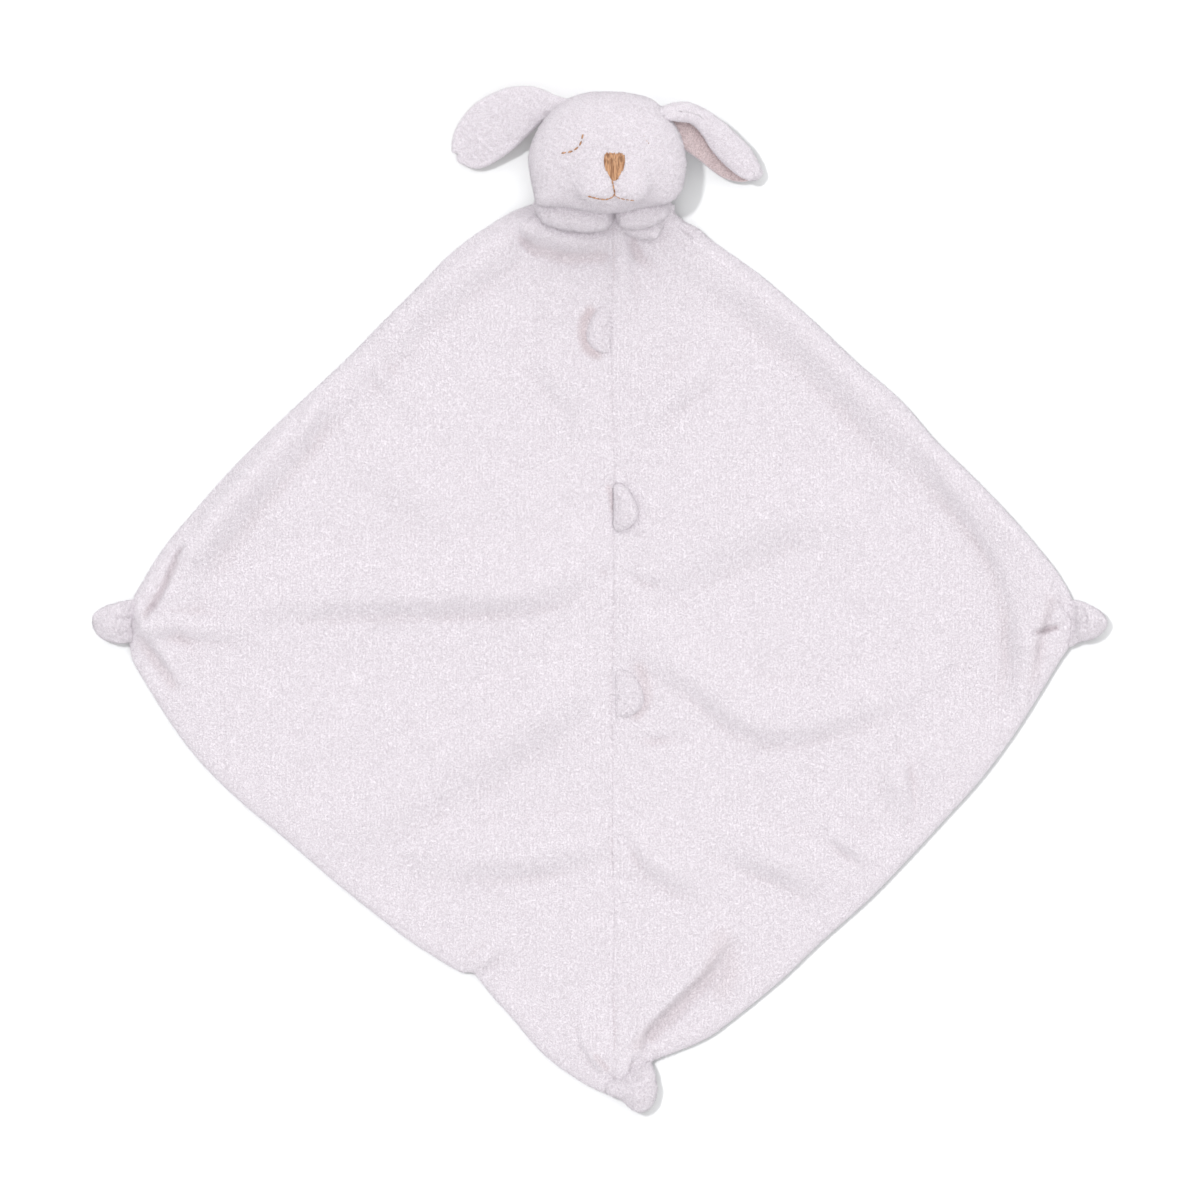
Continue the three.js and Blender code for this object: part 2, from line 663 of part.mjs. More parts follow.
function earPieces() {
  const half = earLayerGap / 2;
  const left = { root: leftEarRoot, heading: leftEarHeading, curled: false };
  left.lowerSide = [-leftEarHeading[1], leftEarHeading[0]];
  const right = { root: rightEarRoot, heading: rightEarHeading, curled: true };
  right.lowerSide = [rightEarHeading[1], -rightEarHeading[0]];
  return [
    earLayer(left, 'ear_left_outer', half, half + clothThickness, plush),
    earLayer(left, 'ear_left_lining', -half - earLiningThickness, -half, plushShade),
    earLayer(right, 'ear_right_lining', half, half + earLiningThickness, plushShade),
    earLayer(right, 'ear_right_outer', -half - clothThickness, -half, plush),
  ];
}

// Tabs: a half-round flap with a rolled root that lies in the groove of the centre seam
function tab(place) {
  const radius = tabThickness / 2;
  const inner = tabReach - tabBevel;
  const half = tabLength / 2 - tabBevel;
  const outline = new THREE.Shape();
  outline.moveTo(0, -half);
  outline.absellipse(0, 0, inner, half, -Math.PI / 2, Math.PI / 2);
  outline.closePath();
  const flap = new THREE.ExtrudeGeometry(outline, {
    depth: tabThickness - 2 * tabBevel,
    bevelSize: tabBevel,
    bevelThickness: tabBevel,
    bevelSegments: 1,
    curveSegments: tabArcSteps,
  }).translate(tabBevel, 0, -radius + tabBevel);
  const rootLength = tabLength - 2 * radius;
  const root = new THREE.CylinderGeometry(radius, radius, rootLength, tabRootFacets);
  const mesh = meshOf(`tab_${place}`, geometryOfSolid(solidOf(flap).add(solidOf(root))), plush);
  const y = tabPlaceShares[place] * reach;
  const heights = tabSampleShares.map((share) => frontOver(0, y + share * tabLength));
  const highest = Math.max(...heights);
  const tilt = THREE.MathUtils.degToRad(tabElevations[place]);
  mesh.position.set(0, y, highest + radius + fit);
  mesh.rotation.y = tabLies[place] > 0 ? -tilt : Math.PI + tilt;
  return mesh;
}

// A knotted corner: a gathered knob of cloth on a stem, its wad of filling and the thread that ties it
function knobProfile(inset) {
  const bulge = knobLength - knobStemLength;
  return knobProfileShares.map(([r, a]) => new THREE.Vector2(
    Math.max(knobStemRadius / 4, r * knobRadius - inset),
    knobStemLength + inset + a * (bulge - 2 * inset),
  ));
}

function knob(name, tiePlace, heading) {
  const tip = new THREE.Vector2(0, knobLength);
  const bore = knobStemRadius / 2;
  const stem = [new THREE.Vector2(bore, fit), new THREE.Vector2(knobStemRadius, fit)];
  const outer = [...stem, ...knobProfile(0), tip];
  const inner = [new THREE.Vector2(0, knobLength - knobWall), ...knobProfile(knobWall).reverse()];
  const cover = new THREE.LatheGeometry([...outer, ...inner, outer[0].clone()], knobFacets);
  const wadProfile = [new THREE.Vector2(0, knobStemLength + knobWall + fit), ...knobProfile(knobWall + fit),
    new THREE.Vector2(0, knobLength - knobWall - fit)];
  const wad = new THREE.LatheGeometry(wadProfile, knobFacets);
  const tie = new THREE.TorusGeometry(knobStemRadius + fit + tieRadius, tieRadius, tieSides, knobFacets);
  tie.rotateX(Math.PI / 2);
  tie.translate(0, knobStemLength / 2, 0);
  const group = new THREE.Group();
  const turned = (geometry) => geometryOfSolid(solidOf(geometry.rotateZ(-Math.PI / 2)
    .scale(1, 1, knobFlattenShare)));
  group.add(
    meshOf(`${name}_knob`, turned(cover), plush),
    meshOf(`${name}_knob_wad`, turned(wad), filling),
    meshOf(`${name}_tie`, turned(tie), paleThread),
  );
  group.position.set(tiePlace[0], tiePlace[1], knobHeight);
  group.rotation.z = Math.atan2(heading[1], heading[0]);
  return group;
}

const object = new THREE.Group();
object.add(
  backPanel(),
  frontPanel('left'),
  frontPanel('right'),
  centreSeam(),
  edgeSeam(),
  neckRoll('neck_roll_left', rollSplit - fit, -rollLeftEnd),
  neckRoll('neck_roll_right', rollSplit + fit, rollRightEnd),
  ...headPieces(),
  ...muzzlePieces(),
  nose(),
  ...mouth(),
  ...eyes(),
  ...earPieces(),
  tab('upper'),
  tab('middle'),
  tab('lower'),
  knob('left', [edgeAt('left', 0), 0], [-1, 0]),
  knob('right', [edgeAt('right', 0), 0], [1, 0]),
  knob('bottom', bottomTieShares.map((share) => share * reach), bottomKnobHeading),
);

export default object;
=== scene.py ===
# %% [markdown]
# # A puppy comfort blanket
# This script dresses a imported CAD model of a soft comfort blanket: a square of short curly plush that lies
# corner up, with a sleeping puppy's padded head at the top, three small tabs sewn into the seam down the
# middle, and a knotted nub at each of the other corners. Lengths in this script are millimetres, unless
# a name says otherwise, and are turned into Blender's metres when a mesh is made.

# %% Load the frame
import math
from functools import partial

import bmesh
import bpy
import numpy as np
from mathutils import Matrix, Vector
from mathutils.bvhtree import BVHTree
from mathutils.geometry import delaunay_2d_cdt
from mathutils.kdtree import KDTree


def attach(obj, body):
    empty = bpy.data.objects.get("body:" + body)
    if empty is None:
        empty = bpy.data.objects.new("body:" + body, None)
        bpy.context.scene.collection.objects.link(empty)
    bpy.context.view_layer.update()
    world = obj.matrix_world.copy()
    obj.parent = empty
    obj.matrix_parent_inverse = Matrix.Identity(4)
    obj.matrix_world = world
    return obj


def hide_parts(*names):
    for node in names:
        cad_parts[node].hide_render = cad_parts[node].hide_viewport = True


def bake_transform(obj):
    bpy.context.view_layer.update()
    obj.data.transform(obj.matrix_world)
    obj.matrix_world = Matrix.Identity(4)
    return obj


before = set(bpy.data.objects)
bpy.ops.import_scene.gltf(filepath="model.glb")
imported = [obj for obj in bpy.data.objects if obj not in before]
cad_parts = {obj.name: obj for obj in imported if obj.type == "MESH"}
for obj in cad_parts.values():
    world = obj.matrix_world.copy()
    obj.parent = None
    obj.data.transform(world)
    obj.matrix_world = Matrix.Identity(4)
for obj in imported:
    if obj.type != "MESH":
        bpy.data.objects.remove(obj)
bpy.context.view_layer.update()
METRES = 0.001

# %% [markdown]
# ## Camera, light and floor
# The blanket is seen from straight above. A camera far away with a long lens keeps the padded head from
# looking larger than it is. Most of the light is an even white world, as in a light tent. Two very broad
# suns draw the folds: one from above the head, and one from below, which reaches under the chin. A narrow
# third one, from the upper left, is linked to the paper alone: it casts the crisp shadow beside the cloth
# without hardening the cloth's own soft shades.

# %% Camera
def place_object(name, data):
    """Puts a new object with this data into the scene."""
    made = bpy.data.objects.new(name, data)
    bpy.context.collection.objects.link(made)
    return made


VIEW_WIDTH = 576
CAMERA_HEIGHT = 15000
VIEW_CENTRE = (-6.2, 10.6)
SENSOR_WIDTH = 36
FARTHEST_SEEN_METRES = 100

camera_data = bpy.data.cameras.new("camera")
camera_data.sensor_width = SENSOR_WIDTH
camera_data.lens = SENSOR_WIDTH * CAMERA_HEIGHT / VIEW_WIDTH
camera_data.clip_end = FARTHEST_SEEN_METRES
camera = place_object("camera", camera_data)
camera.location = Vector((*VIEW_CENTRE, CAMERA_HEIGHT)) * METRES
bpy.context.scene.camera = camera
bpy.context.scene.view_settings.view_transform = "Standard"
print("lens, mm:", round(camera_data.lens, 1))

# %% Suns
# The direction that the light travels, its strength, and the width of the sun's disc in degrees
SUNS = {
    "top": {"towards": (-0.08, -0.75, -1.0), "energy": 1.40, "spread": 72},
    "front": {"towards": (-0.05, 0.45, -1.0), "energy": 0.98, "spread": 60},
    "shadow": {"towards": (0.33, -0.20, -1.0), "energy": 2.0, "spread": 4},
}
paper = bpy.data.collections.new("paper")

for name, light in SUNS.items():
    sun_data = bpy.data.lights.new(name, "SUN")
    sun_data.energy = light["energy"]
    sun_data.angle = math.radians(light["spread"])
    sun = place_object(name, sun_data)
    sun.rotation_mode = "QUATERNION"
    sun.rotation_quaternion = Vector(light["towards"]).to_track_quat("-Z", "Y")
    if name == "shadow":
        sun.light_linking.receiver_collection = paper
print("suns:", ", ".join(SUNS))

# %% [markdown]
# ## One way to add nodes
# Materials and Geometry Nodes are both trees of nodes. `Nodes.add` makes any node from its type, its
# settings and what goes into its sockets. `Wire` wraps an output socket, so that maths on it can be
# written as plain Python, and each sign adds a Math node.

# %% Node helpers
class Wire:
    """An output socket that can be calculated with."""

    def __init__(self, nodes, socket):
        self.nodes = nodes
        self.socket = socket

    def beside(self, output):
        """Another output of the same node."""
        return Wire(self.nodes, Nodes.find(self.socket.node.outputs, output))

    def math(self, operation, first, second):
        return self.nodes.add("ShaderNodeMath", {"operation": operation}, {0: first, 1: second})

    def __add__(self, other):
        return self.math("ADD", self, other)

    def __sub__(self, other):
        return self.math("SUBTRACT", self, other)

    def __rsub__(self, other):
        return self.math("SUBTRACT", other, self)

    def __mul__(self, other):
        return self.math("MULTIPLY", self, other)

    def __truediv__(self, other):
        return self.math("DIVIDE", self, other)

    __radd__ = __add__
    __rmul__ = __mul__


class Nodes:
    """A tree of nodes, to which nodes are added one call at a time."""

    def __init__(self, tree):
        self.tree = tree

    def add(self, kind, settings=None, sockets=None, output=0):
        node = self.tree.nodes.new(kind)
        for name, value in (settings or {}).items():
            setattr(node, name, value)
        for key, value in (sockets or {}).items():
            socket = self.find(node.inputs, key)
            if isinstance(value, Wire):
                self.tree.links.new(value.socket, socket)
            else:
                socket.default_value = value
        return Wire(self, self.find(node.outputs, output)) if len(node.outputs) else None

    @staticmethod
    def find(sockets, key):
        if isinstance(key, int):
            return sockets[key]
        matches = [s for s in sockets if s.identifier == key] or [s for s in sockets if s.name == key]
        return matches[0]


def new_material(name):
    material = bpy.data.materials.new(name)
    material.use_nodes = True
    material.node_tree.nodes.clear()
    return material, Nodes(material.node_tree)


def blend_colour(nodes, factor, first, second, kind="MIX"):
    settings = {"data_type": "RGBA", "blend_type": kind}
    sockets = {"Factor_Float": factor, "A_Color": first, "B_Color": second}
    return nodes.add("ShaderNodeMix", settings, sockets, "Result_Color")


# %% Floor and world
FLOOR_SIZE = 12000
FLOOR_DROP = 0.3
PAPER_COLOUR = (0.615, 0.62, 0.625, 1)
WHITE = (1, 1, 1, 1)
FILL_STRENGTH = 0.71


def camera_sees(nodes):
    """1 for rays that come straight, or by gloss or glass, from the camera."""
    seen = path = nodes.add("ShaderNodeLightPath", output="Is Camera Ray")
    for kind in ("Is Glossy Ray", "Is Transmission Ray"):
        seen = seen.math("MAXIMUM", seen, path.beside(kind))
    return seen


def floor_material():
    material, nodes = new_material("floor_paper")
    matt = nodes.add("ShaderNodeBsdfDiffuse", sockets={"Color": PAPER_COLOUR})
    nodes.add("ShaderNodeOutputMaterial", sockets={"Surface": matt})
    return material


def dress_world():
    """An even white fill for the objects, and plain white where the camera looks past them."""
    world = bpy.data.worlds.new("studio")
    world.use_nodes = True
    world.node_tree.nodes.clear()
    nodes = Nodes(world.node_tree)
    fill = nodes.add("ShaderNodeBackground", sockets={"Color": WHITE, "Strength": FILL_STRENGTH})
    backdrop = nodes.add("ShaderNodeBackground", sockets={"Color": WHITE, "Strength": 1})
    mixed = nodes.add("ShaderNodeMixShader", sockets={0: camera_sees(nodes), 1: fill, 2: backdrop})
    nodes.add("ShaderNodeOutputWorld", sockets={"Surface": mixed})
    bpy.context.scene.world = world


def lay_floor():
    half = FLOOR_SIZE / 2 * METRES
    mesh = bpy.data.meshes.new("floor")
    corners = [(-half, -half), (half, -half), (half, half), (-half, half)]
    mesh.from_pydata([(x, y, -FLOOR_DROP * METRES) for x, y in corners], [], [(0, 1, 2, 3)])
    mesh.materials.append(floor_material())
    floor = place_object("floor", mesh)
    paper.objects.link(floor)


dress_world()
lay_floor()
print("floor:", FLOOR_SIZE, "mm wide,", FLOOR_DROP, "mm below the blanket")

# %% [markdown]
# ## Plush
# The cloth is a short, curly, very pale pinkish-grey plush. Close up it is thousands of little curls:
# each catches light on its back and is darker and warmer where it dives into its neighbours. Two noises
# that differ in size stand for curls and clumps of curls. They drive the colour a little and the bump
# a lot, so the colour carries painted light on the curls' backs and painted shade at their feet, and soft
# sheen gives the pale bloom that plush has at grazing angles. Shade is painted into creases, into hollows
# of the cloth and beside the tabs: a number kept with each point darkens and warms the colour there.

# %% Plush and thread materials
PLUSH_LIGHT = (0.86, 0.812, 0.86, 1)
PLUSH_DEEP = (0.67, 0.615, 0.66, 1)
PLUSH_BLOOM = (1, 0.96, 1, 1)
# The next colour is painted shade: it darkens and warms the plush in creases, in hollows and beside the
# tabs.
CREASE_SHADE_TINT = (0.82, 0.75, 0.74, 1)
# The lining's colours: its own duller plush, darkened and warmed further as painted shade of the folded ear.
LINING_AND_SHADE_LIGHT = (0.70, 0.57, 0.575, 1)
LINING_AND_SHADE_DEEP = (0.47, 0.36, 0.365, 1)

# Noise scales are per metre, and the distances of bumps are in metres
CURL_SCALE = 2300
CURL_SHARE, CLUMP_SHARE = 0.7, 0.3
CURL_FOOT, CURL_BACK = 0.36, 0.62
PLUSH_BUMP = {"Strength": 0.5, "Distance": 0.0006}
PLUSH_FINISH = {
    "Roughness": 0.93, "Specular IOR Level": 0.12,
    "Sheen Weight": 0.9, "Sheen Roughness": 0.55, "Sheen Tint": PLUSH_BLOOM,
}

# Each thread: its light and its deep colour and its roughness
THREADS = {
    "caramel_thread": ((0.59, 0.33, 0.18, 1), (0.25, 0.11, 0.045, 1), 0.5),
    "shaded_caramel_thread": ((0.50, 0.26, 0.13, 1), (0.24, 0.10, 0.04, 1), 0.6),
    "pale_thread": ((0.80, 0.75, 0.80, 1), (0.55, 0.48, 0.52, 1), 0.75),
}
DRAWN_OUT = (1, 0.12, 1)
PLY_SCALE, DYE_SCALE = 1500, 700
PLY_SHARE, DYE_SHARE = 0.4, 0.6
THREAD_BUMP = {"Strength": 0.4, "Distance": 0.0002}


def noise(nodes, place, scale, detail, distortion=0.0):
    sockets = {"Vector": place, "Scale": scale, "Detail": detail, "Distortion": distortion}
    return nodes.add("ShaderNodeTexNoise", {}, sockets)


def steps(nodes, value, low, high):
    """0 below low, 1 above high and smooth between."""
    settings = {"interpolation_type": "SMOOTHSTEP"}
    return nodes.add("ShaderNodeMapRange", settings, {"Value": value, "From Min": low, "From Max": high})


def finish_material(nodes, tone, height, bump, finish):
    """The end of every tree here: a colour and a bump on a principled surface."""
    normal = nodes.add("ShaderNodeBump", {}, {**bump, "Height": height})
    surface = nodes.add("ShaderNodeBsdfPrincipled", {}, {"Base Color": tone, "Normal": normal, **finish})
    nodes.add("ShaderNodeOutputMaterial", sockets={"Surface": surface})


def plush_material(name, light, deep):
    material, nodes = new_material(name)
    place = nodes.add("ShaderNodeTexCoord", output="Object")
    curls = noise(nodes, place, CURL_SCALE, 1.0, 0.8)
    clumps = noise(nodes, place, CURL_SCALE * 0.5, 0.0)
    lift = steps(nodes, curls * CURL_SHARE + clumps * CLUMP_SHARE, CURL_FOOT, CURL_BACK)
    # Painted shade: a number kept with each point darkens and warms the colour in creases, hollows and
    # beside the tabs.
    painted_shade = nodes.add("ShaderNodeAttribute", {"attribute_name": "crease_shade"}, output="Fac")
    # Painted light and shade: the colour follows the curls' bump, lighter on their backs and darker at their
    # feet.
    tone = blend_colour(nodes, lift, deep, light)
    tone = blend_colour(nodes, painted_shade, tone, CREASE_SHADE_TINT, "MULTIPLY")
    finish_material(nodes, tone, lift, PLUSH_BUMP, PLUSH_FINISH)
    return material


def thread_material(name, light, deep, roughness):
    material, nodes = new_material(name)
    place = nodes.add("ShaderNodeTexCoord", output="Object")
    drawn = nodes.add("ShaderNodeVectorMath", {"operation": "MULTIPLY"}, {0: place, 1: DRAWN_OUT})
    plies = noise(nodes, drawn, PLY_SCALE, 2.0, 0.5)
    dye = noise(nodes, drawn, DYE_SCALE, 1.0)
    tone = blend_colour(nodes, steps(nodes, plies * PLY_SHARE + dye * DYE_SHARE, 0.4, 0.6), deep, light)
    finish_material(nodes, tone, plies, THREAD_BUMP, {"Roughness": roughness, "Sheen Weight": 0.15})
    return material


plush = plush_material("plush", PLUSH_LIGHT, PLUSH_DEEP)
lining = plush_material("ear_lining_and_shade_plush", LINING_AND_SHADE_LIGHT, LINING_AND_SHADE_DEEP)
brown_thread, shaded_thread, pale_thread = (thread_material(name, *look) for name, look in THREADS.items())
print("materials:", [m.name for m in bpy.data.materials])

# %% [markdown]
# ## Shapes by rule
# Most pieces here are soft surfaces that follow a rule: a height for each place on the cloth, or a
# distance from the middle for each direction of the head. NumPy works such rules out for many thousand
# points at once. These helpers give smooth lines through a few given places, the distance from a
# line, a soft random waviness, and a mesh with a finish.

# %% Smooth lines
def spline(places, stations):
    """Points on the smooth line through the places. Station 0 is the first place, 1 the second."""
    places = np.asarray(places, float)
    padded = np.vstack([2 * places[0] - places[1], places, 2 * places[-1] - places[-2]])
    first = np.clip(stations.astype(int), 0, len(places) - 2)
    t = (stations - first)[:, None]
    before, start, end, after = (padded[first + k] for k in range(4))
    return 0.5 * (
        2 * start + (end - before) * t
        + (2 * before - 5 * start + 4 * end - after) * t ** 2
        + (3 * start - before - 3 * end + after) * t ** 3
    )


def smooth_line(places, spacing):
    """The same line with a point about every spacing."""
    gaps = np.linalg.norm(np.diff(np.asarray(places, float)[:, :2], axis=0), axis=1)
    counts = np.maximum(1, np.round(gaps / spacing).astype(int))
    stations = [i + np.arange(count) / count for i, count in enumerate(counts)]
    return spline(places, np.concatenate([*stations, [len(places) - 1]]))


def unit(vectors):
    """The same directions, each one long."""
    return vectors / np.linalg.norm(vectors, axis=-1)[..., None]


def near_line(places, line):
    """For each place: distance to the line, 1 or -1 for its left or right side, and the share along it."""
    flat = line[:, :2]
    runs = np.diff(flat, axis=0)
    lengths = np.linalg.norm(runs, axis=1)
    walked = np.concatenate([[0], np.cumsum(lengths)])
    nearest = np.full(len(places), np.inf)
    side = np.ones(len(places))
    share = np.zeros(len(places))
    for i, run in enumerate(runs):
        rest = places - flat[i]
        t = np.clip(rest @ run / lengths[i] ** 2, 0, 1)
        gap = np.linalg.norm(rest - t[:, None] * run, axis=1)
        closer = gap < nearest
        nearest[closer] = gap[closer]
        side[closer] = np.where(run[0] * rest[closer, 1] - run[1] * rest[closer, 0] >= 0, 1, -1)
        share[closer] = (walked[i] + t[closer] * lengths[i]) / walked[-1]
    return nearest, side, share


# %% Waves and soft steps
def soft_noise(places, wavelength, seed, waves=28):
    """A smooth random waviness about 1 high, the sum of waves that run in all directions."""
    rng = np.random.default_rng(seed)
    directions = unit(rng.normal(size=(waves, places.shape[1])))
    lengths = wavelength * rng.uniform(0.75, 1.35, waves)
    phases = rng.uniform(0, 2 * math.pi, waves)
    total = np.zeros(len(places))
    for direction, length, phase in zip(directions, lengths, phases):
        total += np.cos(places @ direction * (2 * math.pi / length) + phase)
    return total * math.sqrt(2 / waves)


def ease(values):
    """0 below 0, 1 above 1 and smooth between."""
    t = np.clip(values, 0, 1)
    return t * t * (3 - 2 * t)


def round_over(distance, width):
    """0 at an edge and 1 past its width, with a quarter circle between."""
    t = 1 - np.clip(distance / width, 0, 1)
    return np.sqrt(1 - t * t)


# %% Meshes
def make_piece(name, points, faces, finish):
    mesh = bpy.data.meshes.new(name)
    mesh.from_pydata((np.asarray(points) * METRES).tolist(), [], [tuple(map(int, f)) for f in faces])
    mesh.materials.append(finish)
    mesh.shade_smooth()
    return place_object(name, mesh)


def mark(piece, name, amounts):
    """Stores a number from 0 to 1 at each point, such as how thick the pile stands there."""
    attribute = piece.data.attributes.new(name, "FLOAT", "POINT")
    attribute.data.foreach_set("value", np.asarray(amounts, np.float32))


def report(piece):
    low, high = np.array(piece.bound_box).min(0), np.array(piece.bound_box).max(0)
    size = np.round((high - low) / METRES, 1)
    print(f"{piece.name}: {len(piece.data.polygons)} faces, {size[0]} x {size[1]} x {size[2]} mm")


# %% [markdown]
# ## How the cloth lies
# The blanket's edge is a smooth line through places on its rim. A cloth simulation could drape it, but
# would not lay the folds where the photograph has them, so they are given as lines too. Each has
# a crest with a height at each place, a width on its left and on its right, and a lean that pushes the
# crest over towards one side until the cloth hangs over its own foot. A narrow side makes a dark crease
# and a wide side a soft slope. Down the middle the seam holds the cloth low, with small puckers beside it.

# %% Edges
# The blanket's rim from the neck to the lower corner, on each side, and the rim of that corner
LEFT_EDGE = [
    (-39.8, 200.2), (-49.4, 196.3), (-61.9, 188.6), (-69.6, 183.4), (-81.1, 173.8), (-90.2, 164.2),
    (-109.4, 145.0), (-128.2, 125.8), (-148.8, 106.6), (-169.0, 87.4), (-187.7, 68.2), (-204.5, 49.0),
    (-212.6, 39.4), (-219.4, 29.8), (-225.1, 20.2), (-229.3, 13.0), (-231.5, 6.0), (-232.0, -1.0),
    (-232.2, -8.5), (-230.4, -18.2), (-225.1, -27.8), (-213.1, -47.0), (-198.7, -66.2), (-179.5, -85.4),
    (-156.5, -104.6), (-134.4, -123.8), (-110.4, -143.0), (-97.9, -152.6), (-83.0, -162.2),
    (-73.5, -167.6), (-67.0, -168.4), (-63.5, -172.4), (-56.2, -181.4), (-46.6, -192.0), (-38.4, -202.0),
    (-28.3, -211.6), (-16.3, -219.9), (-8.0, -224.4),
]
RIGHT_EDGE = [
    (29.8, 200.2), (29.6, 196.6), (34.1, 192.5), (41.3, 188.6), (47.0, 183.4), (60.5, 173.8),
    (73.4, 164.2), (95.5, 145.0), (115.7, 125.8), (137.8, 106.6), (154.6, 87.4), (174.2, 68.2),
    (192.5, 49.0), (208.8, 29.8), (215.5, 20.2), (219.6, 12.5), (221.6, 6.0), (222.0, 0.0), (221.0, -7.0),
    (218.6, -12.6), (214.6, -18.2), (203.0, -37.4), (190.6, -56.6), (176.2, -75.8), (158.9, -95.0),
    (141.1, -114.2), (122.4, -133.4), (100.8, -152.6), (80.6, -171.8), (57.1, -191.0), (43.2, -200.6),
    (19.7, -210.2),
]
BOTTOM = [(-8.0, -224.4), (-2.5, -226.4), (3.5, -226.0), (9.0, -222.0), (14.0, -216.0), (19.7, -210.2)]
print("places on the rim:", len(LEFT_EDGE) + len(RIGHT_EDGE) + len(BOTTOM))

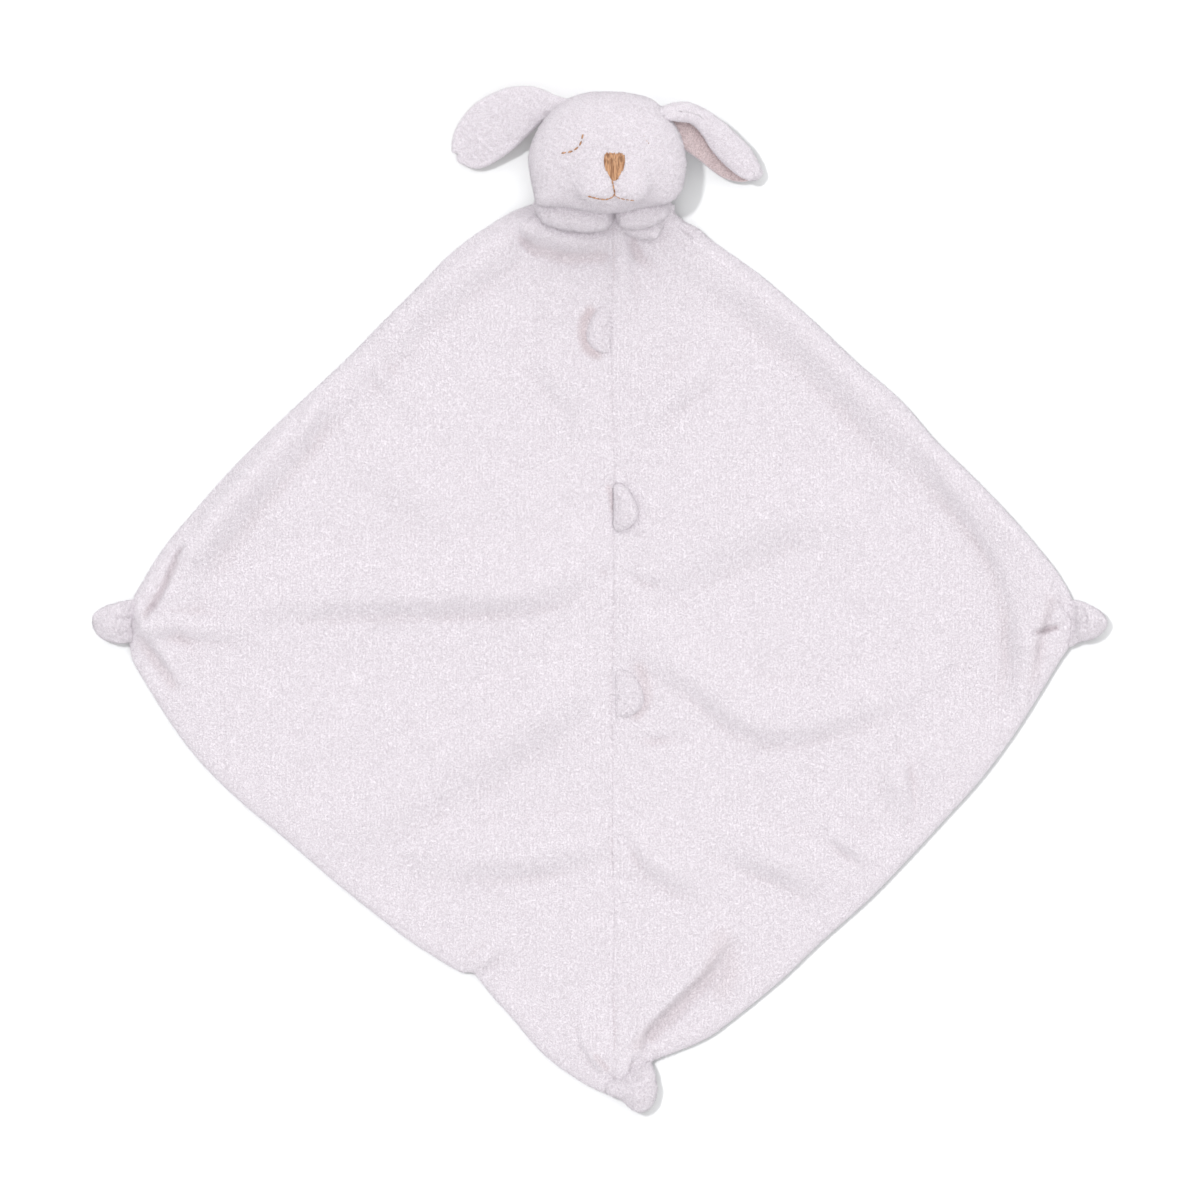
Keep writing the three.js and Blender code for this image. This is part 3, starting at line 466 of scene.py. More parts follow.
# %% Folds
# Each fold: width on the left of its crest, width on the right, lean to the right, and the crest
FOLDS = {
    "left_rim": (16, 10, 0, [
        (-44.6, 189.1, 3.2), (-66, 173.5, 4.2), (-83, 161.8, 4), (-108, 138.5, 3.2), (-131, 115.2, 2.4),
        (-152, 94, 3.4), (-174.2, 70.6, 4), (-203, 38.5, 3.4)]),
    "right_rim": (10, 20, 0, [
        (41.8, 181, 3), (79, 151, 4.4), (122, 112.4, 4.4), (161.8, 73.9, 3.4), (190.6, 44.2, 3.6),
        (209.8, 15.4, 2.2)]),
    "right_trough": (12, 12, 0, [
        (50, 160, 0), (68, 145, -0.8), (101, 113, -1.4), (121, 89, -1.2), (134, 74, 0)]),
    "right_arc": (12, 40, 0, [
        (139, 90, 0), (148, 68, -2.4), (164, 44, -3.4), (177, 22, -3.8), (184, 0, -3.8), (184, -24, -3),
        (177, -50, 0)]),
    "right_ridge": (22, 24, 0, [
        (140.2, 62, 0), (150, 34, 1), (154, -8, 1.2), (158, -56, 1.2), (156, -76, 0)]),
    "left_ripple": (28, 15, 1, [
        (-198, 0, 0.5), (-160, 12, 2.4), (-131, 14, 4.2), (-78.2, 15.4, 5), (-40, 17.5, 4.4),
        (-20, 25, 3), (-3, 34, 1.5)]),
    "left_diagonal": (26, 22, 1, [
        (-135.8, -102.2, 1), (-102.2, -83, 3.4), (-63.8, -59, 4.4), (-25.4, -35, 4.4), (-7.2, -26, 2)]),
    "lower_left": (19, 14, 0, [(-87.8, -112, 1), (-44.6, -111.5, 4), (-11, -105, 3)]),
    "right_ripple": (24, 20, 0, [(10.6, 24, 1.6), (41.8, 34, 3.2), (75.4, 50.5, 3.8), (113.8, 56.2, 1)]),
    "right_curve": (22, 14, 1, [
        (10, -8, 1.4), (41.8, -25.8, 3.4), (70.6, -46.4, 4), (104.2, -43.1, 3.8), (152.2, -24.8, 1)]),
    "lower_right_a": (17, 12, 0, [(10.6, -109.4, 1.5), (26.4, -117.1, 3.8), (45, -127, 1)]),
    "lower_right_b": (18, 13, 0, [(56, -105, 1), (79.2, -114.2, 4.2), (102, -124, 1)]),
    "right_crease": (5, 13, 0, [(136.8, -66.2, 1), (139.2, -78.7, 3.2), (140.2, -91.2, 1)]),
    "right_nick": (10, 6, 0, [(106.6, -102.2, 1), (113.8, -107, 3), (122.4, -113.3, 1)]),
    "bottom_fold": (6, 20, -1.4, [
        (56, -146, 0.5), (50, -155, 2.2), (41.8, -165, 3.6), (23.5, -182.5, 4.6), (12, -195.2, 5),
        (9, -206.5, 3.2)]),
    "bottom_pocket": (6, 6, 0, [(60, -156, -0.6), (52, -167, -1.4), (34, -185, -1.6), (20, -199, -1.2)]),
    "bottom_left": (13, 5, 1.0, [
        (-8, -180, 0), (-12.6, -192, 1), (-13, -200, 1.8), (-8.2, -207.8, 3), (-2.4, -214.5, 2)]),
    "bottom_middle": (6, 6, 0, [(1.5, -186, 0), (2.4, -200, 1.6), (2.2, -213, 1.4)]),
    "neck_left": (10, 8.5, 0, [(-39, 189, 3), (-30, 185.5, 5.2), (-20, 183.4, 5.6), (-6.2, 182.4, 3.4)]),
    "neck_left_pocket": (4, 4, 0, [(-46, 187, -0.5), (-42.4, 182.5, -2.4), (-37, 178, -1)]),
    "neck_left_band": (6, 7, 0, [(-42, 179, -0.6), (-22, 174.5, -1.4), (-7, 176.5, -1.6)]),
    "neck_right_pocket": (5, 5, 0, [(8.4, 181, -1), (13, 175.5, -1.8), (20, 169, -0.6)]),
    "placket": (7, 8, -0.5, [
        (3, 192, 3), (4.2, 182, 3), (4.6, 164, 2.4), (4.2, 150, 1.2), (3, 128, 0.4), (1.6, 100, 0.2)]),
    "left_corner_rim": (4.5, 5, 0, [(-229, 8, 1), (-224.5, 14.5, 2), (-217.5, 25.5, 2), (-207, 41, 0.8)]),
    "left_corner_gap": (2.4, 2.4, 0, [
        (-224, 3, -1), (-219.2, 9.6, -2.6), (-214.2, 19, -2.4), (-210.4, 29, -1.4), (-204.5, 40, -0.2)]),
    "left_corner_upper": (10, 17, 0, [
        (-224, 1, 2), (-211, 16, 3.4), (-198, 36, 3.6), (-182, 58, 3.4), (-158, 86, 1.5)]),
    "left_corner_middle": (8, 8, 0, [
        (-231, -1, 2), (-223, -1, 3.6), (-206, -1.5, 2.8), (-190, -3, 1.8), (-172, -4, 0.3)]),
    "left_corner_lower": (12, 6, 0.8, [
        (-225.5, -2.4, 2), (-218, -10.4, 3.4), (-209.4, -21.6, 2.8), (-204.5, -33, 0.4)]),
    "right_corner": (5, 16, -1.0, [
        (208.4, 12, 1), (203.4, -1.4, 3), (200.4, -11, 3.2), (199.6, -30, 1.2)]),
    "right_corner_pocket": (2.6, 2.6, 0, [(201.4, -5, -1.6), (206, -4, -3), (212.6, -2.6, -1.2)]),
    "left_nick_a": (6, 5, 0, [(-117, 126, 0), (-110.6, 117.4, 1.8), (-105, 108, 0)]),
    "left_nick_b": (8, 6, 0, [(-138, 112, 0), (-145.4, 97, 2.2), (-151, 84, 0)]),
    "left_wave": (20, 20, 0, [(-128.6, 92.2, 0), (-98, 70, 2.5), (-83, 52, 2.5), (-88, 28, 0)]),
    "tab_sweep_left": (12, 12, 0, [(-37, 133, 0), (-22, 114, 3), (-8.6, 97, 1)]),
    "tab_sweep_right": (12, 12, 0, [(12, 96, 1), (32, 114, 3), (53, 134, 0)]),
    "seam_dent_a": (6, 6, 0, [(-12, 33, -0.3), (-4, 25, -2), (-3, 18, -0.6)]),
    "seam_dent_b": (5, 5, 0, [(6, 22, -0.5), (15, 18, -1.6), (24, 17, -0.4)]),
    "seam_dent_c": (5, 5, 0, [(-14, -57, -0.5), (-5, -54.5, -1.4), (-1.5, -52, -0.6)]),
    "seam_dent_d": (5, 5, 0, [(8, -55, -0.4), (18, -57.5, -1.6), (30, -56, -0.5)]),
    "seam_dent_e": (5, 5, 0, [(6, -104, -0.5), (10, -113, -1.8), (16, -121, -0.5)]),
    "edge_pucker": (6, 5, 0, [(-66, -166, 0.5), (-60, -160, 2.5), (-52, -153, 0)]),
}
print("folds:", len(FOLDS))

# %% Painted shade in creases
# Where shade is painted along a crease or beside a tab: reach on each side, strength, and the line
PAINTED_SHADE_LINES = {
    "upper_tab": (4.4, 0.9, [(-11, 149), (-13.4, 145), (-14.2, 138.6), (-12.4, 131.4), (-8, 128.6)]),
    "upper_tab_root": (1.5, 0.8, [(-3.8, 150), (-3.4, 140), (-3.8, 130)]),
    "middle_tab": (2.6, 0.6, [(-2.2, 64.3), (-0.4, 60), (0, 54)]),
    "lower_tab": (5, 0.5, [(13, -22), (15.6, -30), (15.6, -38), (11.6, -44.4)]),
    "bottom_fold": (5.5, 0.4, [
        (50, -156), (45.6, -166), (37.6, -176.6), (27, -187.2), (17.4, -195.8), (11.6, -202.6)]),
    "bottom_blob": (9, 0.3, [(52, -152), (56, -166), (52, -176)]),
    "bottom_left": (2.4, 0.5, [(-7.4, -208), (-2.6, -213.8)]),
    "left_corner": (3, 0.45, [(-224.5, 3.5), (-217, 15), (-209.8, 28.8)]),
    "left_corner_lower": (4.5, 0.35, [(-227, -9), (-219.4, -18.6), (-211, -30)]),
    "right_corner": (5, 0.3, [(210, 10), (206.4, -2.4), (204, -12), (202.4, -28.8)]),
    "right_pocket": (2.2, 0.6, [(203, -4.6), (212.6, -2.9)]),
    "neck_left": (5, 0.12, [(-40, 182), (-22, 177), (-6, 179)]),
}
print("creases:", len(PAINTED_SHADE_LINES))

# %% What the folds do
FULLNESS = 1.2
fold_lines = {name: (left, right, lean, smooth_line(crest, 6))
              for name, (left, right, lean, crest) in FOLDS.items()}


def whole_rim(spacing):
    """The blanket's outline, down the left side from the neck and up the right one."""
    left, bottom, right = (smooth_line(line, spacing) for line in (LEFT_EDGE, BOTTOM, RIGHT_EDGE))
    return np.vstack([left, bottom[1:-1], right[::-1]])


outer_edge = whole_rim(4)


def edge_distance(places):
    """How far each place lies from the blanket's edge."""
    return near_line(places, outer_edge)[0]


def fold_moves(places):
    """How far the folds lift each place and push it sideways."""
    lift = np.zeros(len(places))
    push = np.zeros((len(places), 2))
    for left, right, lean, line in fold_lines.values():
        flat, crest = line[:, :2], line[:, 2]
        reach = max(left, right)
        near = np.all((places > flat.min(0) - reach) & (places < flat.max(0) + reach), axis=1)
        if not near.any():
            continue
        gap, side, share = near_line(places[near], line)
        keys = np.linspace(0, 1, len(line))
        swell = np.clip(1 - (gap / np.where(side > 0, left, right)) ** 2, 0, None) ** 2
        height = np.interp(share, keys, crest)
        lift[near] += FULLNESS * height * swell
        if lean:
            run = np.gradient(flat, axis=0)
            aside = unit(np.stack([run[:, 1], -run[:, 0]], axis=1))
            across = np.stack([np.interp(share, keys, aside[:, k]) for k in (0, 1)], 1)
            fullness = np.clip(height / np.abs(crest).max(), 0, 1)
            push[near] += across * (lean * fullness * swell ** 1.5)[:, None]
    return lift, push


print("edge:", len(outer_edge), "points")

# %% Sizes of the lying cloth
# Its thickness and heights; how far the edge calms the waves; the ties of the knots, and how much the
# cloth rises at them and at the neck; how the seam holds folds, puckers and sinks; and the nap
CLOTH = 2.6
LOWEST_TOP = 3.4
LYING_TOP = 6.7
RIM_HEIGHT = 3.3
RIM_ROUND = 6.5
CALM_RIM = 12
TIES = [np.array(place) for place in ((-232, 0), (222, 0), (5.1, -218.3))]
KNOT_RISE, KNOT_REACH = 0.7, 9
NECK_RISE, NECK_LINE = 6.5, 199
HELD_SHARE, HELD_REACH = 0.6, 12
PUCKER_HEIGHT, PUCKER_PITCH = 0.3, 9.5
GROOVE_DEPTH, GROOVE_REACH = 0.5, 1.9
NAP_HEIGHT, NAP_LENGTH = 0.12, 2.3
print("cloth:", CLOTH, "mm thick, its top", LYING_TOP, "mm above the paper where it lies flat")

# %% Surfaces of the lying cloth
def seam_line(y):
    """Where the centre seam runs: it wanders a little."""
    return 0.5 * np.sin(y / 31) + 0.3 * np.sin(y / 12 + 1)


def seam_effects(places):
    """How much of a fold the seam lets pass, and the height of its puckers and of its groove."""
    x, y = places.T
    past = x - seam_line(y)
    held = 1 - HELD_SHARE * np.exp(-((past / HELD_REACH) ** 2)) * ease((165 - y) / 40)
    pucker = PUCKER_HEIGHT * np.sin(y * 2 * math.pi / PUCKER_PITCH + 2 * np.sin(y / 17))
    pucker *= np.exp(-np.abs(past) / 7)
    pucker *= 1 - np.exp(-((past / 2.2) ** 2))
    groove = GROOVE_DEPTH * np.exp(-((past / GROOVE_REACH) ** 2)) * (1 - ease((y - 120) / 30))
    return held, pucker, groove


def gathered_rise(places):
    """How far the cloth rises towards the neck and the three knots."""
    x, y = places.T
    knot = sum(np.exp(-(((places - tie) ** 2).sum(1)) / KNOT_REACH ** 2) for tie in TIES)
    neck = NECK_RISE * np.exp(-(((y - NECK_LINE) / 10) ** 2)) * np.exp(-((x + 4) / 40) ** 4)
    return neck + KNOT_RISE * knot


def cloth_top(places):
    """The upper surface of the blanket over each place, as points in space."""
    lift, push = fold_moves(places)
    held, pucker, groove = seam_effects(places)
    edge = edge_distance(places)
    calm = ease(edge / CALM_RIM)
    wave = 0.35 * soft_noise(places, 62, 5) + 0.1 * soft_noise(places, 24, 8)
    body = LYING_TOP + held * (lift + calm * wave) + calm * pucker + gathered_rise(places)
    body = LOWEST_TOP + np.logaddexp(0, (body - LOWEST_TOP) * 2) / 2
    height = RIM_HEIGHT + (body - RIM_HEIGHT) * round_over(edge, RIM_ROUND) - groove
    height += NAP_HEIGHT * soft_noise(places, NAP_LENGTH, 11, 44) * ease(edge / 1.5)
    return np.column_stack([places + push * calm[:, None], height])


def cloth_under(places):
    """The lower surface of the front cloth."""
    top = cloth_top(places)
    top[:, 2] -= 0.12 + (CLOTH - 0.5) * round_over(edge_distance(places), 3)
    return top


# %% Where shade is painted
def shade_along_lines(places):
    """How strongly shade is painted along the listed creases at each place."""
    amount = np.zeros(len(places))
    for reach, strength, line in PAINTED_SHADE_LINES.values():
        gap, _, _ = near_line(places, smooth_line(line, 3))
        amount = np.maximum(amount, strength * np.clip(1 - (gap / reach) ** 2, 0, None) ** 2)
    return amount


def face_edges(faces):
    return np.vstack([faces[:, [0, 1]], faces[:, [1, 2]], faces[:, [2, 0]]])


def below_surroundings(points, faces, rounds=70, depth=2.4):
    """How far each point lies below the places around it, from 0 to 0.4."""
    pairs = np.unique(np.sort(face_edges(faces), axis=1), axis=0)
    neighbours = np.bincount(pairs.ravel(), minlength=len(points))
    level = points[:, 2].copy()
    for _ in range(rounds):
        total = np.bincount(pairs[:, 0], level[pairs[:, 1]], len(points))
        total += np.bincount(pairs[:, 1], level[pairs[:, 0]], len(points))
        level = (level + total / neighbours) / 2
    return np.clip((level - points[:, 2]) / depth - 0.1, 0, 0.4)


# %% [markdown]
# ## Sheets from an outline
# A sheet is a closed thin shape: an upper surface with points close together, so that it can carry the
# nap, and a lower one with fewer points, joined round the rim. Blender's Delaunay triangulation fills
# an outline with near-even triangles. The rule for the upper or lower surface then lifts the flat points.

# %% Triangles in an outline
CLEAR_OF_RIM = 0.62


def point_tree(places):
    """A tree that finds the nearest of some flat places."""
    tree = KDTree(len(places))
    for i, (x, y) in enumerate(places):
        tree.insert((x, y, 0), i)
    tree.balance()
    return tree


def triangulate(rim, spacing):
    """Fills a closed outline with triangles of about that size. Returns flat points and faces."""
    low, high = rim.min(0), rim.max(0)
    step = np.array([spacing, spacing * math.sqrt(3) / 2])
    columns, rows = np.ceil((high - low) / step).astype(int)
    across, up = np.meshgrid(np.arange(columns), np.arange(rows))
    grid = np.column_stack([(across + 0.5 * (up % 2)).ravel(), up.ravel()]) * step + low
    tree = point_tree(rim)
    grid = [(x, y) for x, y in grid if tree.find((x, y, 0))[2] > CLEAR_OF_RIM * spacing]
    count = len(rim)
    edges = [(i, (i + 1) % count) for i in range(count)]
    points, _, faces, *_ = delaunay_2d_cdt([Vector(p) for p in [*rim, *grid]], edges, [], 1, 1e-6)
    points, faces = np.array([p[:] for p in points]), np.array(faces)
    used = np.unique(faces)
    renumber = np.full(len(points), -1)
    renumber[used] = np.arange(len(used))
    return points[used], renumber[faces]


def rim_edges(faces):
    """The directed edges that only one face has."""
    edges = face_edges(faces)
    there = set(map(tuple, edges.tolist()))
    return [(a, b) for a, b in edges.tolist() if (b, a) not in there]


# %% Sheet maker
def make_sheet(name, rim, spacing, over, under, finish, coarser=4, is_cut=None, paints_crease_shade=False):
    """A closed sheet over an outline: over and under lift its flat points. A cut rim has a sharp edge."""
    flat, faces = triangulate(rim, spacing)
    flat_under, faces_under = triangulate(rim, spacing * coarser)
    count, bare = len(flat), np.zeros(len(flat_under))
    tree = point_tree(flat_under)

    def twin(i):
        return tree.find((*flat[i], 0))[1] + count

    walls = []
    for a, b in rim_edges(faces):
        walls += [(b, a, twin(a)), (b, twin(a), twin(b))]
    turned = faces_under[:, ::-1] + count
    points = np.vstack([over(flat), under(flat_under)])
    piece = make_piece(name, points, [*faces.tolist(), *turned.tolist(), *walls], finish)
    if is_cut:
        for edge in piece.data.edges:
            edge.use_edge_sharp = all(v < count and is_cut(flat[v]) for v in edge.vertices)
    mark(piece, "pile", np.concatenate([np.ones(count), bare]))
    if paints_crease_shade:
        # Painted shade: listed creases, and hollows that lie below their surroundings, get a number that
        # darkens and warms the colour.
        crease_shade = np.maximum(shade_along_lines(flat), below_surroundings(points[:count], faces))
        mark(piece, "crease_shade", np.concatenate([crease_shade * ease(edge_distance(flat) / 9), bare]))
    report(piece)
    return piece


# %% [markdown]
# ## The blanket
# The front is two cloths that meet in the centre seam, and the back is one. On the real blanket they are
# sewn together inside out and turned, so the edge is a soft roll with no hem. Each front half is its own
# sheet here. Its outline runs down the seam and back up the edge of the blanket.

# %% Front and back cloths
FRONT_SPACING = 0.89
BACK_SPACING = 3
BACK_ROUND = 5
SEAM_GAP = -0.02


def front_rim(side):
    sign = -1 if side == "left" else 1
    edge = smooth_line(LEFT_EDGE if side == "left" else RIGHT_EDGE, FRONT_SPACING)
    bottom = smooth_line(BOTTOM, FRONT_SPACING)
    middle = int(np.argmin(np.abs(bottom[:, 0] - seam_line(bottom[:, 1]))))
    foot = bottom[:middle][::-1] if side == "left" else bottom[middle + 1:]
    heights = np.arange(NECK_LINE, bottom[middle, 1], -FRONT_SPACING)
    seam = np.column_stack([seam_line(heights) + sign * SEAM_GAP, heights])
    neck = np.linspace(edge[0], seam[0], int(abs(edge[0, 0]) / FRONT_SPACING))[1:-1]
    return np.vstack([seam, foot, edge[::-1][1:], neck])


def in_seam(point):
    return bool(abs(point[0] - seam_line(point[1])) < 0.1)


def back_over(places):
    bent_up = 1 - round_over(edge_distance(places), BACK_ROUND)
    return np.column_stack([places, CLOTH - 0.15 + 0.65 * bent_up])


def back_under(places):
    bent_up = 1 - round_over(edge_distance(places), BACK_ROUND)
    return np.column_stack([places, (CLOTH + 0.35) * bent_up])


fronts = {
    side: make_sheet(f"blanket_front_{side}", front_rim(side), FRONT_SPACING, cloth_top, cloth_under, plush,
                     is_cut=in_seam, paints_crease_shade=True)
    for side in ("left", "right")
}
back = make_sheet("blanket_back", whole_rim(2.5), BACK_SPACING, back_over, back_under, plush)

# %% [markdown]
# ## The head
# The puppy's head is a stuffed ball of plush, broader at the cheeks than at the crown, with a rounded
# muzzle and a chin that overhangs the gathered neck. Such a form can be sculpted, but a rule is easier
# to repeat: a few egg shapes are melted into each other, and rays from the middle find the surface.
# A hollow is kept where the neck's gathers lie, so that the head can nod.

# %% Head outline
# Places on the head's rim seen from above, clockwise from its right side
HEAD_PLAN = [
    (35, 221), (34.3, 213), (32, 205.5), (26, 200.8), (17, 199.5), (8, 198.5), (0, 198), (-14, 198.4),
    (-24, 199.2), (-35.4, 200.2), (-38, 207), (-39.8, 216.5), (-40.2, 223), (-38.4, 230.5),
    (-33.5, 239.8), (-26.5, 247.8), (-16, 252.6), (-4, 254), (9, 253), (19, 250), (27, 242), (32.4, 233),
]
HEAD_CENTRE = np.array([-2.4, 222.0])
print("head outline:", np.ptp(HEAD_PLAN, axis=0).round(1), "mm")

# %% Head shape
HEAD_TOP, HEAD_MIDDLE, HEAD_FLOOR = 46.0, 22.5, -3.0
CHIN_MIDDLE = 26.4
NECK_AXIS = (198.0, 14.0)
NECK_HOLLOW = 10.85
SKULL_POWER, SKULL_HALF = 2.3, 26

# The smaller forms of the face: middle, half sizes and how square they are
MUZZLE = ((-1, 213.8, 34.4), (20.8, 16.2, 18.6), 2.2)
CHEEKS = [((0.3 + side * 8.0, 209, 44.4), (9.2, 8.2, 8.2), 2.2) for side in (-1, 1)]
CHIN = ((-4, 203.8, 34), (12.5, 7, 10), 2.1)


def plan_table():
    line = smooth_line([*HEAD_PLAN, HEAD_PLAN[0]], 1) - HEAD_CENTRE
    turn = np.unwrap(np.arctan2(line[:, 1], line[:, 0]))
    order = np.argsort(turn)
    return turn[order], np.hypot(*line[order].T)


PLAN_TURN, PLAN_REACH = plan_table()


def egg(points, centre, sizes, power):
    """Roughly the distance outside an egg-shaped solid with these half sizes."""
    spread = ((np.abs(points - np.array(centre)) / np.array(sizes)) ** power).sum(1)
    return (spread ** (1 / power) - 1) * min(sizes)


def skull(points):
    rest = points[:, :2] - HEAD_CENTRE
    turn = np.arctan2(rest[:, 1], rest[:, 0])
    reach = np.interp(turn, PLAN_TURN, PLAN_REACH, period=2 * math.pi)
    plan = np.hypot(*rest.T) / reach
    middle = HEAD_MIDDLE + (CHIN_MIDDLE - HEAD_MIDDLE) * ease((208 - points[:, 1]) / 9)
    rise = points[:, 2] - middle
    deep = np.abs(rise) / np.where(rise > 0, HEAD_TOP - middle, middle - HEAD_FLOOR)
    return ((plan ** SKULL_POWER + deep ** SKULL_POWER) ** (1 / SKULL_POWER) - 1) * SKULL_HALF


def melt(first, second, softness):
    """The nearer of two distances, rounded where they are alike."""
    overlap = np.clip(softness - np.abs(first - second), 0, None)
    return np.minimum(first, second) - overlap ** 2 / (4 * softness)


def head_distance(points):
    cheeks = melt(*(egg(points, *cheek) for cheek in CHEEKS), 1.0)
    muzzle = melt(melt(egg(points, *MUZZLE), cheeks, 2.4), egg(points, *CHIN), 2.4)
    body = melt(skull(points), muzzle, 6)
    neck = NECK_HOLLOW - np.hypot(points[:, 1] - NECK_AXIS[0], points[:, 2] - NECK_AXIS[1])
    return np.maximum(np.maximum(body, neck), 0.4 - points[:, 2])


# %% Rays on to the shape
RAY_STEP = 0.5


def cast_rays(origin, directions, distance, longest):
    """Where rays that come in from outside first meet the surface."""
    lengths = np.full(len(directions), float(longest))
    outside = np.ones(len(directions), bool)
    for _ in range(int(longest / RAY_STEP)):
        if not outside.any():
            break
        points = origin + directions[outside] * lengths[outside][:, None]
        still = distance(points) > 0
        lengths[np.flatnonzero(outside)[still]] -= RAY_STEP
        outside[np.flatnonzero(outside)[~still]] = False
    low, high = lengths, lengths + RAY_STEP
    for _ in range(12):
        middle = (low + high) / 2
        inside = distance(origin + directions * middle[:, None]) <= 0
        low, high = np.where(inside, middle, low), np.where(inside, high, middle)
    return origin + directions * ((low + high) / 2)[:, None]


def ball_mesh(levels):
    bpy.ops.mesh.primitive_ico_sphere_add(subdivisions=levels)
    ball = bpy.context.object
    directions = unit(np.array([v.co for v in ball.data.vertices]))
    faces = [tuple(p.vertices) for p in ball.data.polygons]
    bpy.data.objects.remove(ball)
    return directions, faces


# %% Nap
def point_normals(points, faces):
    faces = np.array(faces)
    corners = points[faces]
    normal = np.cross(corners[:, 1] - corners[:, 0], corners[:, 2] - corners[:, 0])
    total = np.zeros_like(points)
    for k in range(faces.shape[1]):
        np.add.at(total, faces[:, k], normal)
    return total / np.maximum(np.linalg.norm(total, axis=1), 1e-9)[:, None]


def add_nap(points, faces, depth, wavelength, seed, waves):
    """Roughens a surface along its normals."""
    rough = soft_noise(points, wavelength, seed, waves)
    return points + point_normals(points, faces) * (depth * rough)[:, None]


# %% Head
HEAD_ORIGIN = np.array([-0.5, 221.0, 29.0])
directions, head_faces = ball_mesh(7)
head_points = cast_rays(HEAD_ORIGIN, directions, head_distance, 60)
head_points = add_nap(head_points, head_faces, 0.13, 2.4, 21, 44)
head_points[:, 2] = np.maximum(head_points[:, 2], 0.3)
head = make_piece("head_plush", head_points, head_faces, plush)
mark(head, "pile", ease((head_points[:, 2] - 2) / 6))
report(head)

# %% [markdown]
# ## Ears
# Each ear is two cloths, the plush outside and a duller lining, sewn round and turned. The lining's colour
# is also darkened and warmed as painted shade. The left one lies out flat with its plush side up. The right
# one is folded: its upper part has rolled over, so the plush shows on the roll and the lining lies in its
# own shade below. An ear is described by lines that run from its root to its tip, seen from above: the two
# edges, and for the folded ear also the free edge of the part that has rolled over. The cloths are laid on
# each side of the surface between those lines.

# %% Ear outlines
EARS = {
    "left": {
        "root": 27, "tip": 5.2, "cup": 1.6,
        "lower": [(-21, 243.5), (-27.8, 243.4), (-32.2, 241.6), (-37.4, 237.0), (-42.2, 232.3),
                  (-47, 227.6), (-51.8, 224.0), (-56.6, 220.9), (-61.4, 218.5), (-66.2, 217.9),
                  (-71, 220.3), (-73.9, 223.8)],
        "upper": [(-20, 249.5), (-27.2, 251.8), (-33, 254.9), (-40, 256.8), (-49.4, 256.3),
                  (-56.6, 253.9), (-63.8, 250.1), (-69.6, 244.8), (-73.4, 239.4), (-75.8, 233.8),
                  (-76, 229), (-74.9, 225.6)],
    },
    "right": {
        "root": 25, "tip": 5, "cup": 0.6,
        "lower": [(26, 231), (34, 226.8), (38.6, 223.6), (43.5, 220), (48, 216.3), (53.8, 212.8),
                  (61, 211.3), (66, 212.4), (68.4, 213.8)],
        "upper": [(19, 246), (32, 249.7), (41.6, 247.4), (51.4, 241.2), (59.8, 233.7), (65.6, 228),
                  (69.4, 221.5), (70.4, 218), (70, 215.4)],
        "flap": [(22, 242), (30, 240.6), (37.2, 239.8), (42.4, 234.5), (47.2, 227), (52.6, 220.8),
                 (59.4, 215.2), (65.6, 213), (68.4, 214.2)],
    },
}
print("ears:", ", ".join(EARS))

# %% Ear surface
FOLD_RADIUS = 2.8
PLUSH_THICKNESS, LINING_THICKNESS = 2.4, 1.6
EAR_ROWS, EAR_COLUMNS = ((140, 90))

# Where the flat part, the roll and the flap lie across a folded ear: start and length as shares
STRETCHES = ((0, 0.5), (0.5, 0.14), (0.64, 0.36))


def ear_surface(ear):
    """The surface between an ear's two cloths, as rows of points from the root to the tip."""
    share = np.sin(np.linspace(0, math.pi / 2, EAR_ROWS)) ** 1.2
    stations = share * (len(ear["lower"]) - 1)
    lower, upper = spline(ear["lower"], stations), spline(ear["upper"], stations)
    height = ear["root"] - (ear["root"] - ear["tip"]) * np.sin(math.pi / 2 * share)
    across = (1 - np.cos(np.linspace(0, math.pi, EAR_COLUMNS))) / 2
    if "flap" not in ear:
        flat = lower[:, None] + (upper - lower)[:, None] * across[:, None]
        cup = -ear["cup"] * (2 * across - 1) ** 2 + 0.5 * np.sin(share * 6)[:, None] * np.sin(across * 5)
        return np.dstack([flat, height[:, None] + cup])
    flap = spline(ear["flap"], stations)
    out = unit(upper - lower)
    radius = (FOLD_RADIUS * np.clip((1 - share) * 6, 0.12, 1))[:, None]
    pivot = upper - out * (radius + (PLUSH_THICKNESS + 0.4) * radius / FOLD_RADIUS)
    lying, rolling, back_down = (np.clip((across - start) / length, 0, 1) for start, length in STRETCHES)
    turn = -math.pi / 2 + math.pi * rolling
    flat = lower[:, None] + (pivot - lower)[:, None] * lying[:, None]
    flat = flat + (out * radius)[:, None] * np.cos(turn)[:, None]
    flat = flat + (flap - pivot)[:, None] * back_down[:, None]
    rise = radius * (1 + np.sin(turn)) + 0.8 * np.sin(math.pi * back_down) - ear["cup"] * (1 - lying) ** 2
    return np.dstack([flat, height[:, None] + rise])


# %% Ear cloths
EAR_ROUND = 2.2


def grid_faces(rows, columns):
    """The faces of a grid of points, and the walls between its rim and that of the next grid."""
    count = rows * columns
    grid = np.arange(count).reshape(rows, columns)
    quads = np.stack([grid[:-1, :-1], grid[1:, :-1], grid[1:, 1:], grid[:-1, 1:]], -1).reshape(-1, 4)
    loop = np.concatenate([grid[0, :-1], grid[:-1, -1], grid[-1, :0:-1], grid[:0:-1, 0]])
    walls = [(a, b, b + count, a + count) for a, b in zip(loop, np.roll(loop, -1))]
    return quads, walls


def ear_normals(middle, is_folded):
    """Normals that point away from the lining."""
    normal = np.cross(np.gradient(middle, axis=0), np.gradient(middle, axis=1))
    normal /= np.linalg.norm(normal, axis=2)[..., None] + 1e-12
    is_turned = normal[30, 5, 2] > 0 if is_folded else normal[..., 2].mean() < 0
    return -normal if is_turned else normal


